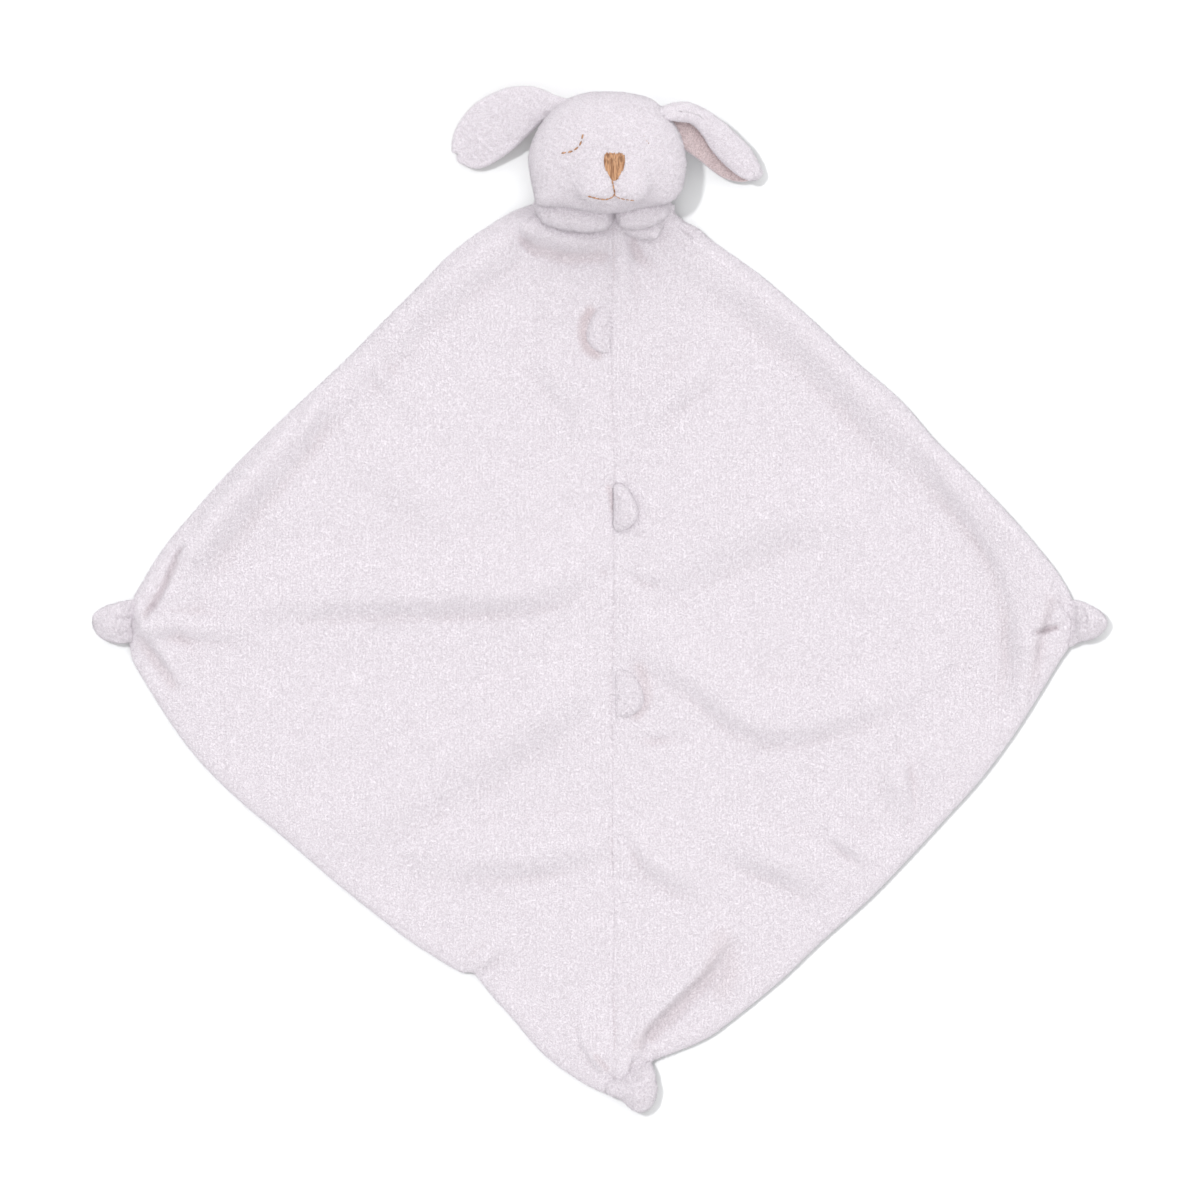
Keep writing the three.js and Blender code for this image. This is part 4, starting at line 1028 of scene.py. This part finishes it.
def ear_fullness(middle):
    """1 over most of an ear, and close to 0 at its sides and its tip."""
    steps_across = np.linalg.norm(np.diff(middle, axis=1), axis=2)
    walked = np.hstack([np.zeros((EAR_ROWS, 1)), np.cumsum(steps_across, axis=1)])
    side_rim = np.minimum(walked, walked[:, -1:] - walked)
    steps_along = np.linalg.norm(np.diff(middle, axis=0), axis=2)
    left_to_go = np.vstack([np.cumsum(steps_along[::-1], axis=0)[::-1], np.zeros((1, EAR_COLUMNS))])
    return (0.08 + 0.92 * round_over(np.minimum(side_rim, left_to_go), EAR_ROUND))[..., None]


def make_ear_cloth(name, ear, near, far, finish, seed):
    """A cloth from one distance off the ear's surface to another, thin at its rim."""
    middle = ear_surface(ear)
    offset = ear_normals(middle, "flap" in ear) * ear_fullness(middle)
    rough = 0.12 * soft_noise(middle.reshape(-1, 3), 2.6, seed, 40)
    outer = middle + offset * (far + math.copysign(1, far) * rough.reshape(EAR_ROWS, EAR_COLUMNS, 1))
    points = np.vstack([(middle + offset * near).reshape(-1, 3), outer.reshape(-1, 3)])
    quads, walls = grid_faces(EAR_ROWS, EAR_COLUMNS)
    count = EAR_ROWS * EAR_COLUMNS
    piece = make_piece(name, points, [*(quads + count).tolist(), *quads[:, ::-1].tolist(), *walls], finish)
    fix_normals(piece)
    mark(piece, "pile", np.concatenate([np.zeros(count), np.ones(count)]))
    report(piece)
    return piece


def fix_normals(piece):
    """Turns all faces outwards."""
    work = bmesh.new()
    work.from_mesh(piece.data)
    bmesh.ops.recalc_face_normals(work, faces=work.faces)
    work.to_mesh(piece.data)
    work.free()


ears = {
    side: (
        make_ear_cloth(f"{side}_ear_plush", ear, 0.05, PLUSH_THICKNESS, plush, 31),
        make_ear_cloth(f"{side}_ear_lining", ear, -0.05, -LINING_THICKNESS, lining, 33),
    )
    for side, ear in EARS.items()
}

# %% [markdown]
# ## Neck gathers
# Under the chin the cloth is drawn together into two fat rolls and a smaller pleat. They are round
# across and change in width along a line. A cloth simulation could gather them, but it is hard to steer
# to the folds in a photograph. Rings round a line, each with its own width and height, are easy to place.

# %% Stuffed shapes along a line
def fuller(turn, corner, amount):
    """A cross-section that is fuller towards one angle."""
    away = np.abs((turn - corner + math.pi) % (2 * math.pi) - math.pi)
    return 1 + amount * np.exp(-(away / 0.55) ** 2)


def rounded(values, count=40):
    """A smooth run through a few half sizes, with round ends at both zeros."""
    keys = np.linspace(0, 1, len(values))
    fine = smooth_line(np.column_stack([keys * 100, values]), 100 / count)
    return np.clip(fine[:, 1], 0.05, None)


def at_shares(share, values):
    """Values that are given at even shares of a length, at any share of it."""
    return np.interp(share, np.linspace(0, 1, len(values)), values)


def make_stuffed(name, line, widths, heights, rings, sides, corner, amount, seed):
    """Rings round a level line. widths and heights are half sizes at even shares of its length."""
    share = (1 - np.cos(np.linspace(0, math.pi, rings))) / 2
    centre = np.column_stack([at_shares(share, column) for column in np.array(line, float).T])
    run = unit(np.gradient(centre, axis=0))
    aside = unit(np.cross(run, (0, 0, 1)))
    rise = np.cross(aside, run)
    wide, high = (at_shares(share, rounded(sizes)) for sizes in (widths, heights))
    turn = np.linspace(0, 2 * math.pi, sides, endpoint=False)
    swell = fuller(turn, math.radians(corner), amount)
    across = (wide[:, None] * np.cos(turn)) * swell
    up = (high[:, None] * np.sin(turn)) * swell
    points = centre[:, None] + aside[:, None] * across[..., None] + rise[:, None] * up[..., None]
    grid = np.arange(rings * sides).reshape(rings, sides)
    ahead = np.roll(grid, -1, axis=1)
    quads = np.stack([grid[:-1], ahead[:-1], ahead[1:], grid[1:]], -1).reshape(-1, 4)
    points = add_nap(points.reshape(-1, 3), quads, 0.14, 2.6, seed, 40)
    piece = make_piece(name, points, [*quads.tolist(), tuple(grid[0, ::-1]), tuple(grid[-1])], plush)
    fix_normals(piece)
    mark(piece, "pile", np.ones(len(points)))
    report(piece)
    return piece


# %% Neck gathers
# Each roll: its line, its half widths and half heights, points along and round it, the angle at which
# it is fullest and by how much, and the seed of its nap
ROLLS = {
    "neck_gather_left": (
        [(3, 198.2, 16), (-12, 197.8, 16), (-25, 198.6, 15.6), (-38.5, 200.2, 13.6)],
        [0, 8.6, 10.2, 10.6, 10.6, 10.3, 9.9, 9.4, 8.6, 6.4, 0],
        [0, 8.8, 10.3, 10.6, 10.5, 10.3, 10, 9.6, 8.8, 6.6, 0], 150, 96, 135, 0.13, 41),
    "neck_gather_right": (
        [(-1, 198.8, 16), (12, 198.8, 16), (28.5, 200.4, 14)],
        [0, 8.2, 9.8, 10.1, 10.2, 10, 9.4, 8.2, 6, 0],
        [0, 8.6, 10.2, 10.4, 10.4, 10.2, 9.6, 8.6, 6.4, 0], 120, 96, 45, 0.13, 43),
    "neck_pleat": (
        [(1, 192.5, 8.6), (8, 192.4, 9.6), (16, 192.2, 10.2), (25, 191.6, 9.6)],
        [0, 4.4, 5.6, 6.6, 7.4, 7.8, 8, 8, 7.2, 0],
        [0, 3.6, 4.6, 5, 5, 5, 5, 4.8, 4, 0], 80, 64, 45, 0.16, 45),
}
rolls = {name: make_stuffed(name, *roll) for name, roll in ROLLS.items()}

# %% [markdown]
# ## Knotted corners
# Each corner of the real blanket is drawn together and knotted, which leaves a soft nub about two
# centimetres wide. Its outline is the one in the photograph, and a rule makes it rise from the thickness
# of the cloth to a full round end. Its root runs back into the blanket's corner, so that no gap shows
# between them.

# %% Nub outlines
NUBS = {
    "left": {
        "tie": (-232, 0), "heading": (-1, -0.02), "dive": 0.8,
        "rim": [(-230.4, 11), (-237.6, 9.4), (-244.3, 7.2), (-248.6, 4.3), (-249.8, 1), (-248.8, -3.8),
                (-245.3, -7.7), (-241, -9.6), (-237.1, -10.3), (-232.8, -10.1), (-226, -8.6),
                (-222.2, -2.9), (-222.2, 4.8), (-225.6, 9.1)],
        "creases": [[(-238.4, 1.9), (-230, 2.4)], [(-240.2, -7.6), (-235.6, -5.8), (-230.6, -5)]],
    },
    "right": {
        "tie": (222, 0), "heading": (1, 0.02), "dive": 1.8,
        "rim": [(218.4, 10.6), (224.2, 10.1), (230.4, 7.4), (234.6, 4.6), (237, 0.6), (236, -3.6),
                (232.6, -6.8), (228.4, -8.6), (224.2, -9.6), (218.9, -12), (214.6, -10.1),
                (210.7, -4.8), (209.8, 1), (211.7, 6.7), (214.6, 9.6)],
        "creases": [[(220.6, 7), (222, 1), (221.4, -5)], [(226, 6), (227.2, 1), (226.6, -3)]],
    },
    "bottom": {
        "tie": (5.1, -218.3), "heading": (0.46, -0.888), "dive": 2.2,
        "rim": [(18.2, -210.2), (20.6, -218.9), (21.1, -225.6), (18.7, -232.3), (13.9, -235.2),
                (9.1, -233.8), (3.4, -229), (-2.9, -226.1), (-3.4, -219.8), (1.4, -213.1), (9.1, -208.3)],
        "creases": [[(4, -219), (8, -221), (12, -220)]],
    },
}
print("nubs:", ", ".join(NUBS))

# %% Corner nubs
NUB_TOP = 7.2
NUB_ROOT = 4.3
NUB_SPACING = 0.55
CREASE_DEPTH, CREASE_REACH = 0.7, 1.1


def make_nub(side, nub):
    tie, heading = np.array(nub["tie"]), np.array(nub["heading"])
    rim = smooth_line([*nub["rim"], nub["rim"][0]], 0.6)[:-1]
    closed = np.vstack([rim, rim[:1]])

    def place(sign, points):
        ahead = (points - tie) @ heading
        past = ease((ahead + 3) / 10)
        dive = nub["dive"] * ease((-0.5 - ahead) / 6)
        edge = near_line(points, closed)[0]
        middle, half = NUB_ROOT + (NUB_TOP - NUB_ROOT) * past - dive, 2.6 + 4 * past
        height = middle + sign * half * round_over(edge, 6 + 3.4 * past)
        if sign > 0:
            for line in nub["creases"]:
                gap = near_line(points, smooth_line(line, 1))[0]
                height -= CREASE_DEPTH * np.exp(-((gap / CREASE_REACH) ** 2))
            height += 0.25 * soft_noise(points, 7, 51) + 0.14 * soft_noise(points, 2.4, 52, 40) * ease(edge)
        return np.column_stack([points, np.maximum(height, 0.2)])

    sides = partial(place, 1), partial(place, -1)
    return make_sheet(f"{side}_nub", rim, NUB_SPACING, *sides, plush, coarser=1)


nubs = {side: make_nub(side, nub) for side, nub in NUBS.items()}

# %% [markdown]
# ## Tabs
# Three half-round flaps of the same plush are caught in the centre seam, for small fingers. The upper
# lies to the left, the lower to the right, and the middle one stands up a little. Each could be one bent
# face, but would look like card. So each is a half-round outline padded to a soft edge, made flat and
# then turned up about the seam.

# %% Tab maker
# Each tab: where it sits on the seam, the side it lies to, its tilt in degrees, how far it reaches, half
# its length along the seam, how far its tip curls down, and how deep its root sits in the cloth
TABS = {
    "upper": {"place": 140.6, "lies": -1, "tilt": 17, "reach": 11.6, "half": 12.2, "curl": 2.0, "low": 2.0},
    "middle": {"place": 55.0, "lies": 1, "tilt": 46, "reach": 11.2, "half": 11.6, "curl": 3.8, "low": 1.2},
    "lower": {"place": -34.1, "lies": 1, "tilt": 17, "reach": 13.6, "half": 12.2, "curl": 2.0, "low": 2.0},
}
TAB_THICKNESS = 5.0
TAB_ROUND = 5.5
TAB_ROOT = 1.0
TAB_SINK = 2.2
TAB_SPACING = 0.6
ROOT_RISE = 1.8


def tab_rim(reach, half):
    """A half round, a little askew, with its straight side just beyond the seam."""
    turn = np.linspace(-math.pi / 2, math.pi / 2, 70)
    askew = 1 - 0.12 * np.sin(turn * 2)
    arc = np.column_stack([reach * np.cos(turn) ** 0.85 * askew, half * np.sin(turn)])
    straight = np.column_stack([np.full(20, -TAB_ROOT), np.linspace(half, -half, 22)[1:-1]])
    return np.vstack([arc, straight])


def make_tab(name, tab):
    rim = tab_rim(tab["reach"], tab["half"])
    closed = np.vstack([rim, rim[:1]])
    lies, tilt = tab["lies"], math.radians(tab["tilt"])
    level = cloth_top(np.array([[lies * 4.0, tab["place"]]]))[0, 2] - tab["low"]

    def place(sign, points):
        edge = near_line(points, closed)[0]
        thick = TAB_THICKNESS / 2 * (0.1 + 0.9 * round_over(edge, TAB_ROUND))
        out, along = points.T
        curl = -tab["curl"] * np.clip(out / tab["reach"], 0, 1) ** 2
        curl -= TAB_SINK * ease((ROOT_RISE - out) / (ROOT_RISE + TAB_ROOT))
        up = sign * thick + curl + 0.1 * soft_noise(points, 2.6, 61 + (sign > 0), 30)
        x = lies * (0.8 + out * math.cos(tilt) - up * math.sin(tilt))
        z = level + out * math.sin(tilt) + up * math.cos(tilt)
        return np.column_stack([x, along + tab["place"], z])

    sides = partial(place, 1), partial(place, -1)
    piece = make_sheet(f"{name}_tab_cloth", rim, TAB_SPACING, *sides, plush, coarser=1)
    fix_normals(piece)
    return piece


tabs = {name: make_tab(name, tab) for name, tab in TABS.items()}

# %% [markdown]
# ## Face
# The nose is satin stitch: long threads side by side that fan from a wide top to a narrow foot. Mouth
# and eyes are running stitches in the same caramel thread. All of them lie on the head, so their places
# on the face are given flat and dropped on to the head's surface. Geometry Nodes turn the lines into
# thread, because every stitch follows the same rule.

# %% Trees and what grows from them
def new_tree(name, inputs):
    """A tree with these inputs, its nodes, a wire for each input, and the inputs' identifiers."""
    tree = bpy.data.node_groups.new(name, "GeometryNodeTree")
    tree.interface.new_socket("Geometry", in_out="OUTPUT", socket_type="NodeSocketGeometry")
    names = {}
    for label, kind in {"Geometry": "Geometry", **inputs}.items():
        socket = tree.interface.new_socket(label, in_out="INPUT", socket_type=f"NodeSocket{kind}")
        names[label] = socket.identifier
    nodes = Nodes(tree)
    entry = nodes.add("NodeGroupInput")
    return tree, nodes, {label: entry.beside(label) for label in names}, names


def finish_tree(nodes, geometry, finish):
    whole = nodes.add("GeometryNodeRealizeInstances", {}, {0: geometry})
    smooth = nodes.add("GeometryNodeSetShadeSmooth", {}, {"Geometry": whole})
    dressed = nodes.add("GeometryNodeSetMaterial", {}, {"Geometry": smooth, "Material": finish})
    nodes.add("NodeGroupOutput", sockets={0: dressed})


def grow(name, source, made, values):
    """Runs a tree on a source object and keeps the result as a plain mesh of its own."""
    tree, identifiers = made
    modifier = source.modifiers.new("grow", "NODES")
    modifier.node_group = tree
    for label, value in values.items():
        modifier[identifiers[label]] = value
    bpy.context.view_layer.update()
    result = source.evaluated_get(bpy.context.evaluated_depsgraph_get())
    mesh = bpy.data.meshes.new_from_object(result)
    source.modifiers.remove(modifier)
    return place_object(name, mesh)


# %% Two kinds of stitch
THREAD_SIDES = 6
BEAD_SIDES, BEAD_RINGS = 8, 6


def satin_tree():
    """Round threads along lines."""
    tree, nodes, wires, names = new_tree("satin_stitch", {"Thread Radius": "Float", "Finish": "Material"})
    lines = nodes.add("GeometryNodeMeshToCurve", {}, {"Mesh": wires["Geometry"]})
    ring = nodes.add("GeometryNodeCurvePrimitiveCircle", {}, {
        "Resolution": THREAD_SIDES, "Radius": wires["Thread Radius"]})
    tubes = nodes.add("GeometryNodeCurveToMesh", {}, {
        "Curve": lines, "Profile Curve": ring, "Fill Caps": True})
    finish_tree(nodes, tubes, wires["Finish"])
    return tree, names


def running_tree():
    """A row of long beads along a line, one for each stitch that shows."""
    inputs = {"Thread Radius": "Float", "Stitch Length": "Float", "Gap": "Float", "Finish": "Material"}
    tree, nodes, wires, names = new_tree("running_stitch", inputs)
    line = nodes.add("GeometryNodeMeshToCurve", {}, {"Mesh": wires["Geometry"]})
    pitch = wires["Stitch Length"] + wires["Gap"]
    spots = nodes.add("GeometryNodeCurveToPoints", {"mode": "LENGTH"}, {"Curve": line, "Length": pitch})
    bead = nodes.add("GeometryNodeMeshUVSphere", {}, {
        "Segments": BEAD_SIDES, "Rings": BEAD_RINGS, "Radius": 1.0})
    size = nodes.add("ShaderNodeCombineXYZ", {}, {
        0: wires["Thread Radius"], 1: wires["Thread Radius"], 2: wires["Stitch Length"] * 0.5})
    stitches = nodes.add("GeometryNodeInstanceOnPoints", {}, {
        "Points": spots, "Instance": bead, "Rotation": spots.beside("Rotation"), "Scale": size})
    finish_tree(nodes, stitches, wires["Finish"])
    return tree, names


SATIN = satin_tree()
RUNNING = running_tree()
print("stitch trees:", [tree.name for tree, _ in (SATIN, RUNNING)])

# %% Threads on the head
head_tree = BVHTree.FromPolygons([Vector(p) for p in head_points], head_faces)


def on_head(x, y, proud):
    hit = head_tree.ray_cast(Vector((x, y, 90)), Vector((0, 0, -1)))[0]
    return (x, y, hit.z + proud)


def line_object(name, lines):
    points, edges = [], []
    for line in lines:
        edges += [(len(points) + i, len(points) + i + 1) for i in range(len(line) - 1)]
        points += line
    mesh = bpy.data.meshes.new(name)
    mesh.from_pydata((np.array(points) * METRES).tolist(), edges, [])
    return place_object(name, mesh)


def sew(name, lines, made, values):
    source = line_object(name + "_path", lines)
    piece = grow(name, source, made, values)
    bpy.data.objects.remove(source)
    report(piece)
    return piece


# %% Nose
NOSE_MIDDLE = 0.7
NOSE_TOP, NOSE_FOOT = 224.2, 211.3
NOSE_HALF = 4.7
NOSE_POINTS = 12
NOSE_ARCH = 1.1
NOSE_NARROW = 0.64
NOSE_RISE = 1.15

# Each layer: how many threads, their radius, how far they stand out, a seed and the thread
NOSE_LAYERS = {
    "nose_padding": (12, 0.62, -0.5, 70, shaded_thread),
    "nose_satin": (13, 0.36, 0.1, 72, brown_thread),
}


def nose_lines(threads, proud, seed):
    """Threads that fan from the nose's top to its foot, a little uneven at both ends."""
    rng = np.random.default_rng(seed)
    lines = []
    for i in range(threads):
        u = 2 * (i + 0.5) / threads - 1
        side = abs(u) ** 2.2
        top_y = NOSE_TOP - NOSE_ARCH * u ** 4 + rng.uniform(-0.6, 0.5)
        top = np.array([NOSE_MIDDLE + NOSE_HALF * u, top_y])
        foot_x = NOSE_MIDDLE + NOSE_HALF * u * (NOSE_NARROW + 0.22 * side) + rng.uniform(-0.15, 0.15)
        foot = np.array([foot_x, NOSE_FOOT + 5.6 * side + rng.uniform(-0.2, 0.4)])
        line = []
        for t in np.linspace(0, 1, NOSE_POINTS):
            bulge = NOSE_HALF * u * 0.12 * math.sin(math.pi * t)
            x, y = top + (foot - top) * t + np.array([bulge, 0])
            raised = NOSE_RISE * math.sin(math.pi * min(1, 0.08 + t * 0.88)) ** 0.4
            line.append(on_head(x, y, proud + raised - 0.3))
        lines.append(line)
    return lines


nose = [
    sew(name, nose_lines(threads, proud, seed), SATIN, {"Thread Radius": radius * METRES, "Finish": thread})
    for name, (threads, radius, proud, seed, thread) in NOSE_LAYERS.items()
]

# %% Mouth and eyes
# Each line of stitches: how far it stands out of the plush, and its places
MOUTH = {
    "mouth_thread_left": (0.25, [
        (-11, 203.5), (-6.2, 202.4), (-2.6, 202.4), (0.6, 204.4), (0.2, 208.4), (-0.7, 212.4)]),
    "mouth_thread_right": (-0.22, [(9.1, 201.9), (3.6, 202.8), (0.9, 204.2)]),
}
EYES = {
    "eye_thread_left": (0.3, [
        (-23.6, 224.6), (-20.2, 225.2), (-17.6, 226.6), (-15.7, 228.8), (-14.6, 232.4)]),
    "eye_thread_right": (-0.5, [(14.6, 232.8), (16.6, 229.6), (19.2, 227.1), (23, 225.2)]),
}


def stitch(radius, length, gap, finish):
    return {"Thread Radius": radius * METRES, "Stitch Length": length * METRES, "Gap": gap * METRES,
            "Finish": finish}


def sew_face(lines, stitching):
    """Rows of stitches that are dropped on to the head."""
    rows = {name: [on_head(x, y, proud) for x, y in smooth_line(places, 0.6)]
            for name, (proud, places) in lines.items()}
    return {name: sew(name, [row], RUNNING, stitching) for name, row in rows.items()}


mouths = sew_face(MOUTH, stitch(0.42, 2.3, -0.2, brown_thread))
eyes = sew_face(EYES, stitch(0.46, 2.6, 0.6, brown_thread))

# %% [markdown]
# ## Centre seam
# Small stitches hold the two front cloths together. They lie at the bottom of the groove, mostly hidden
# by the pile, and follow it from the neck to the lower corner. The edge was sewn inside out, so its
# stitches lie inside the rim.

# %% Seam stitches
SEAM_TOP, SEAM_FOOT, SEAM_STEP = 184, -219, 1.5
SEAM_DEPTH = 1.0
INSIDE_RIM = 1.6

seam_heights = np.arange(SEAM_TOP, SEAM_FOOT, -SEAM_STEP)
seam_flat = np.column_stack([seam_line(seam_heights), seam_heights])
seam_top = cloth_top(seam_flat)[:, 2] - SEAM_DEPTH
seam_points = [(x, y, z) for (x, y), z in zip(seam_flat, seam_top)]
seam = sew("centre_seam_stitches", [seam_points], RUNNING, stitch(0.3, 2.4, 0.8, pale_thread))

inside = smooth_line(outer_edge, 4)
run = unit(np.gradient(inside, axis=0))
edge_flat = inside + np.column_stack([-run[:, 1], run[:, 0]]) * INSIDE_RIM
edge_points = [(x, y, RIM_HEIGHT) for x, y in edge_flat[3:-3]]
edge_seam = sew("edge_seam_stitches", [edge_points], RUNNING, stitch(0.25, 2.6, 1.2, pale_thread))

# %% [markdown]
# ## Neck sleeve
# Behind the gathers the cloth of the blanket runs on into the head. The sleeve is that stretch: a curved
# cloth round the line about which the head nods.

# %% Sleeve
SLEEVE_RADII = (13.2, 11.6)
SLEEVE_TURNS = (-128, -38)
SLEEVE_SIDES = (-36, 27)
SLEEVE_ROWS, SLEEVE_COLUMNS = 30, 60


def make_sleeve():
    turns = np.radians(np.linspace(*SLEEVE_TURNS, SLEEVE_ROWS))
    across = np.linspace(*SLEEVE_SIDES, SLEEVE_COLUMNS)
    turn, x = (a.ravel() for a in np.meshgrid(turns, across, indexing="ij"))
    taper = np.sqrt(1 - (0.94 * np.clip((np.abs(x + 4) - 20) / 12, 0, 1)) ** 2)
    y, z = taper * np.cos(turn), taper * np.sin(turn)
    layers = [np.column_stack([x, NECK_AXIS[0] + radius * y, NECK_AXIS[1] + radius * z])
              for radius in SLEEVE_RADII]
    quads, walls = grid_faces(SLEEVE_ROWS, SLEEVE_COLUMNS)
    faces = [*quads.tolist(), *(quads[:, ::-1] + len(x)).tolist(), *walls]
    piece = make_piece("neck_sleeve", np.vstack(layers), faces, plush)
    fix_normals(piece)
    report(piece)
    return piece


sleeve = make_sleeve()

# %% [markdown]
# ## Pile
# Up close, plush is a crowd of small curls that also break the outline of every edge. Modelling each
# fibre would be far too heavy, so Geometry Nodes scatter short three-sided spikes over the surfaces at
# random turns and sizes, closer together on the head and the small pieces, where they are seen closest.

# %% Pile tree
# Spikes to a square metre at most, the share of a spike that is sunk, its lean in radians, and its sizes
HIGHEST_DENSITY = 1e7
SUNK_SHARE = 0.2
LEAN = 0.8
SIZES = (0.6, 1.3)


def pile_tree():
    inputs = {"Spacing": "Float", "Length": "Float", "Width": "Float", "Seed": "Int", "Finish": "Material"}
    tree, nodes, wires, names = new_tree("pile", inputs)
    amount = nodes.add("GeometryNodeInputNamedAttribute", {"data_type": "FLOAT"}, {"Name": "pile"})
    spread = nodes.add("GeometryNodeDistributePointsOnFaces", {"distribute_method": "POISSON"}, {
        "Mesh": wires["Geometry"], "Density Max": HIGHEST_DENSITY, "Density Factor": amount,
        "Distance Min": wires["Spacing"], "Seed": wires["Seed"]})
    tuft = nodes.add("GeometryNodeMeshCone", {"fill_type": "NGON"}, {
        "Vertices": 3, "Side Segments": 1, "Fill Segments": 1, "Radius Top": 0.0,
        "Radius Bottom": wires["Width"], "Depth": wires["Length"]})
    sunk = nodes.add("ShaderNodeCombineXYZ", {}, {2: wires["Length"] * -SUNK_SHARE})
    bent = nodes.add("GeometryNodeTransform", {}, {"Geometry": tuft, "Translation": sunk})
    spin = nodes.add("FunctionNodeRandomValue", {"data_type": "FLOAT_VECTOR"}, {
        "Min": (-LEAN, -LEAN, 0), "Max": (LEAN, LEAN, 2 * math.pi), "Seed": wires["Seed"]})
    turned = nodes.add("FunctionNodeEulerToRotation", {}, {0: spin})
    facing = nodes.add("FunctionNodeRotateRotation", {"rotation_space": "LOCAL"}, {
        "Rotation": spread.beside("Rotation"), "Rotate By": turned})
    size = nodes.add("FunctionNodeRandomValue", {"data_type": "FLOAT"}, {
        "Min_001": SIZES[0], "Max_001": SIZES[1], "Seed": wires["Seed"] + 5})
    tufts = nodes.add("GeometryNodeInstanceOnPoints", {}, {
        "Points": spread, "Instance": bent, "Rotation": facing, "Scale": size})
    finish_tree(nodes, tufts, wires["Finish"])
    return tree, names


PILE = pile_tree()
print("pile tree:", len(PILE[0].nodes), "nodes")

# %% Pile on each piece
PILE_SPREAD = 1.0

# Each kind of pile: the space between its spikes, their length and their width
PILES = {"cloth": (0.98, 0.95, 0.36), "head": (0.78, 0.8, 0.3), "neck": (0.8, 0.95, 0.3),
         "small": (0.75, 1.15, 0.3)}

# Each covered piece: the piece, its pile's name and kind, a seed and the body that carries it
COVERED = [
    (fronts["left"], "pile_front_left", "cloth", 1, "blanket"),
    (fronts["right"], "pile_front_right", "cloth", 2, "blanket"),
    (head, "pile_head", "head", 3, "head"),
    (rolls["neck_gather_left"], "pile_gather_left", "neck", 4, "blanket"),
    (rolls["neck_gather_right"], "pile_gather_right", "neck", 5, "blanket"),
    *((outer, f"pile_{side}_ear", "head", 6, f"ear_{side}") for side, (outer, _) in ears.items()),
    *((nub, f"pile_{side}_nub", "small", 7, None) for side, nub in nubs.items()),
    (rolls["neck_pleat"], "pile_pleat", "neck", 9, "blanket"),
    *((tab, f"pile_{name}_tab", "small", 8, f"{name}_tab") for name, tab in tabs.items()),
]


def cover(source, name, kind, seed):
    spacing, length, width = PILES[kind]
    piece = grow(name, source, PILE, {
        "Spacing": spacing * PILE_SPREAD * METRES, "Length": length * METRES, "Width": width * METRES,
        "Seed": seed, "Finish": plush})
    report(piece)
    return piece


piles = [(cover(source, name, kind, seed), body) for source, name, kind, seed, body in COVERED]

# %% [markdown]
# ## Joining the frame
# Most pieces ride on the CAD body that they belong to, and the CAD nodes that they stand for are hidden.
# The nubs, their pile and the sleeve stay where they were made. The square of cloth is 330 mm on each
# side; each front half is half of it, cut corner to corner.


def settle(piece, body, slot, *nodes):
    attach(piece, body)
    if nodes:
        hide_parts(*nodes)


for side, piece in fronts.items():
    settle(piece, "blanket", "plush", f"front_{side}")
settle(back, "blanket", "plush", "back")
settle(seam, "blanket", "pale_thread", "centre_seam_thread")
settle(edge_seam, "blanket", "pale_thread", "edge_seam_thread")
for side in ("left", "right"):
    settle(rolls[f"neck_gather_{side}"], "blanket", "plush", f"neck_roll_{side}")
settle(rolls["neck_pleat"], "blanket", "plush")
settle(head, "head", "plush", "head_front", "head_back", "head_stuffing", "head_seam_thread", "muzzle",
       "muzzle_stuffing", "neck_stub", "neck_thread")
settle(nose[0], "head", "brown_thread")
settle(nose[1], "head", "brown_thread", "nose")
for side in ("left", "right"):
    settle(mouths[f"mouth_thread_{side}"], "head", "brown_thread", f"mouth_{side}")
    settle(eyes[f"eye_thread_{side}"], "head", "brown_thread", f"eye_{side}")
    outer, inner = ears[side]
    settle(outer, f"ear_{side}", "plush", f"ear_{side}_outer")
    settle(inner, f"ear_{side}", "ear_lining", f"ear_{side}_lining")
for name, piece in tabs.items():
    settle(piece, f"{name}_tab", "plush", f"tab_{name}")
nub_piles = dict(zip(nubs, (pile for pile, body in piles if body is None)))
for side, piece in nubs.items():
    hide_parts(f"{side}_knob", f"{side}_knob_wad", f"{side}_tie")
    for part in (piece, nub_piles[side]):
        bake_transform(part)
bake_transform(sleeve)
for piece, body in piles:
    if body:
        settle(piece, body, "plush")
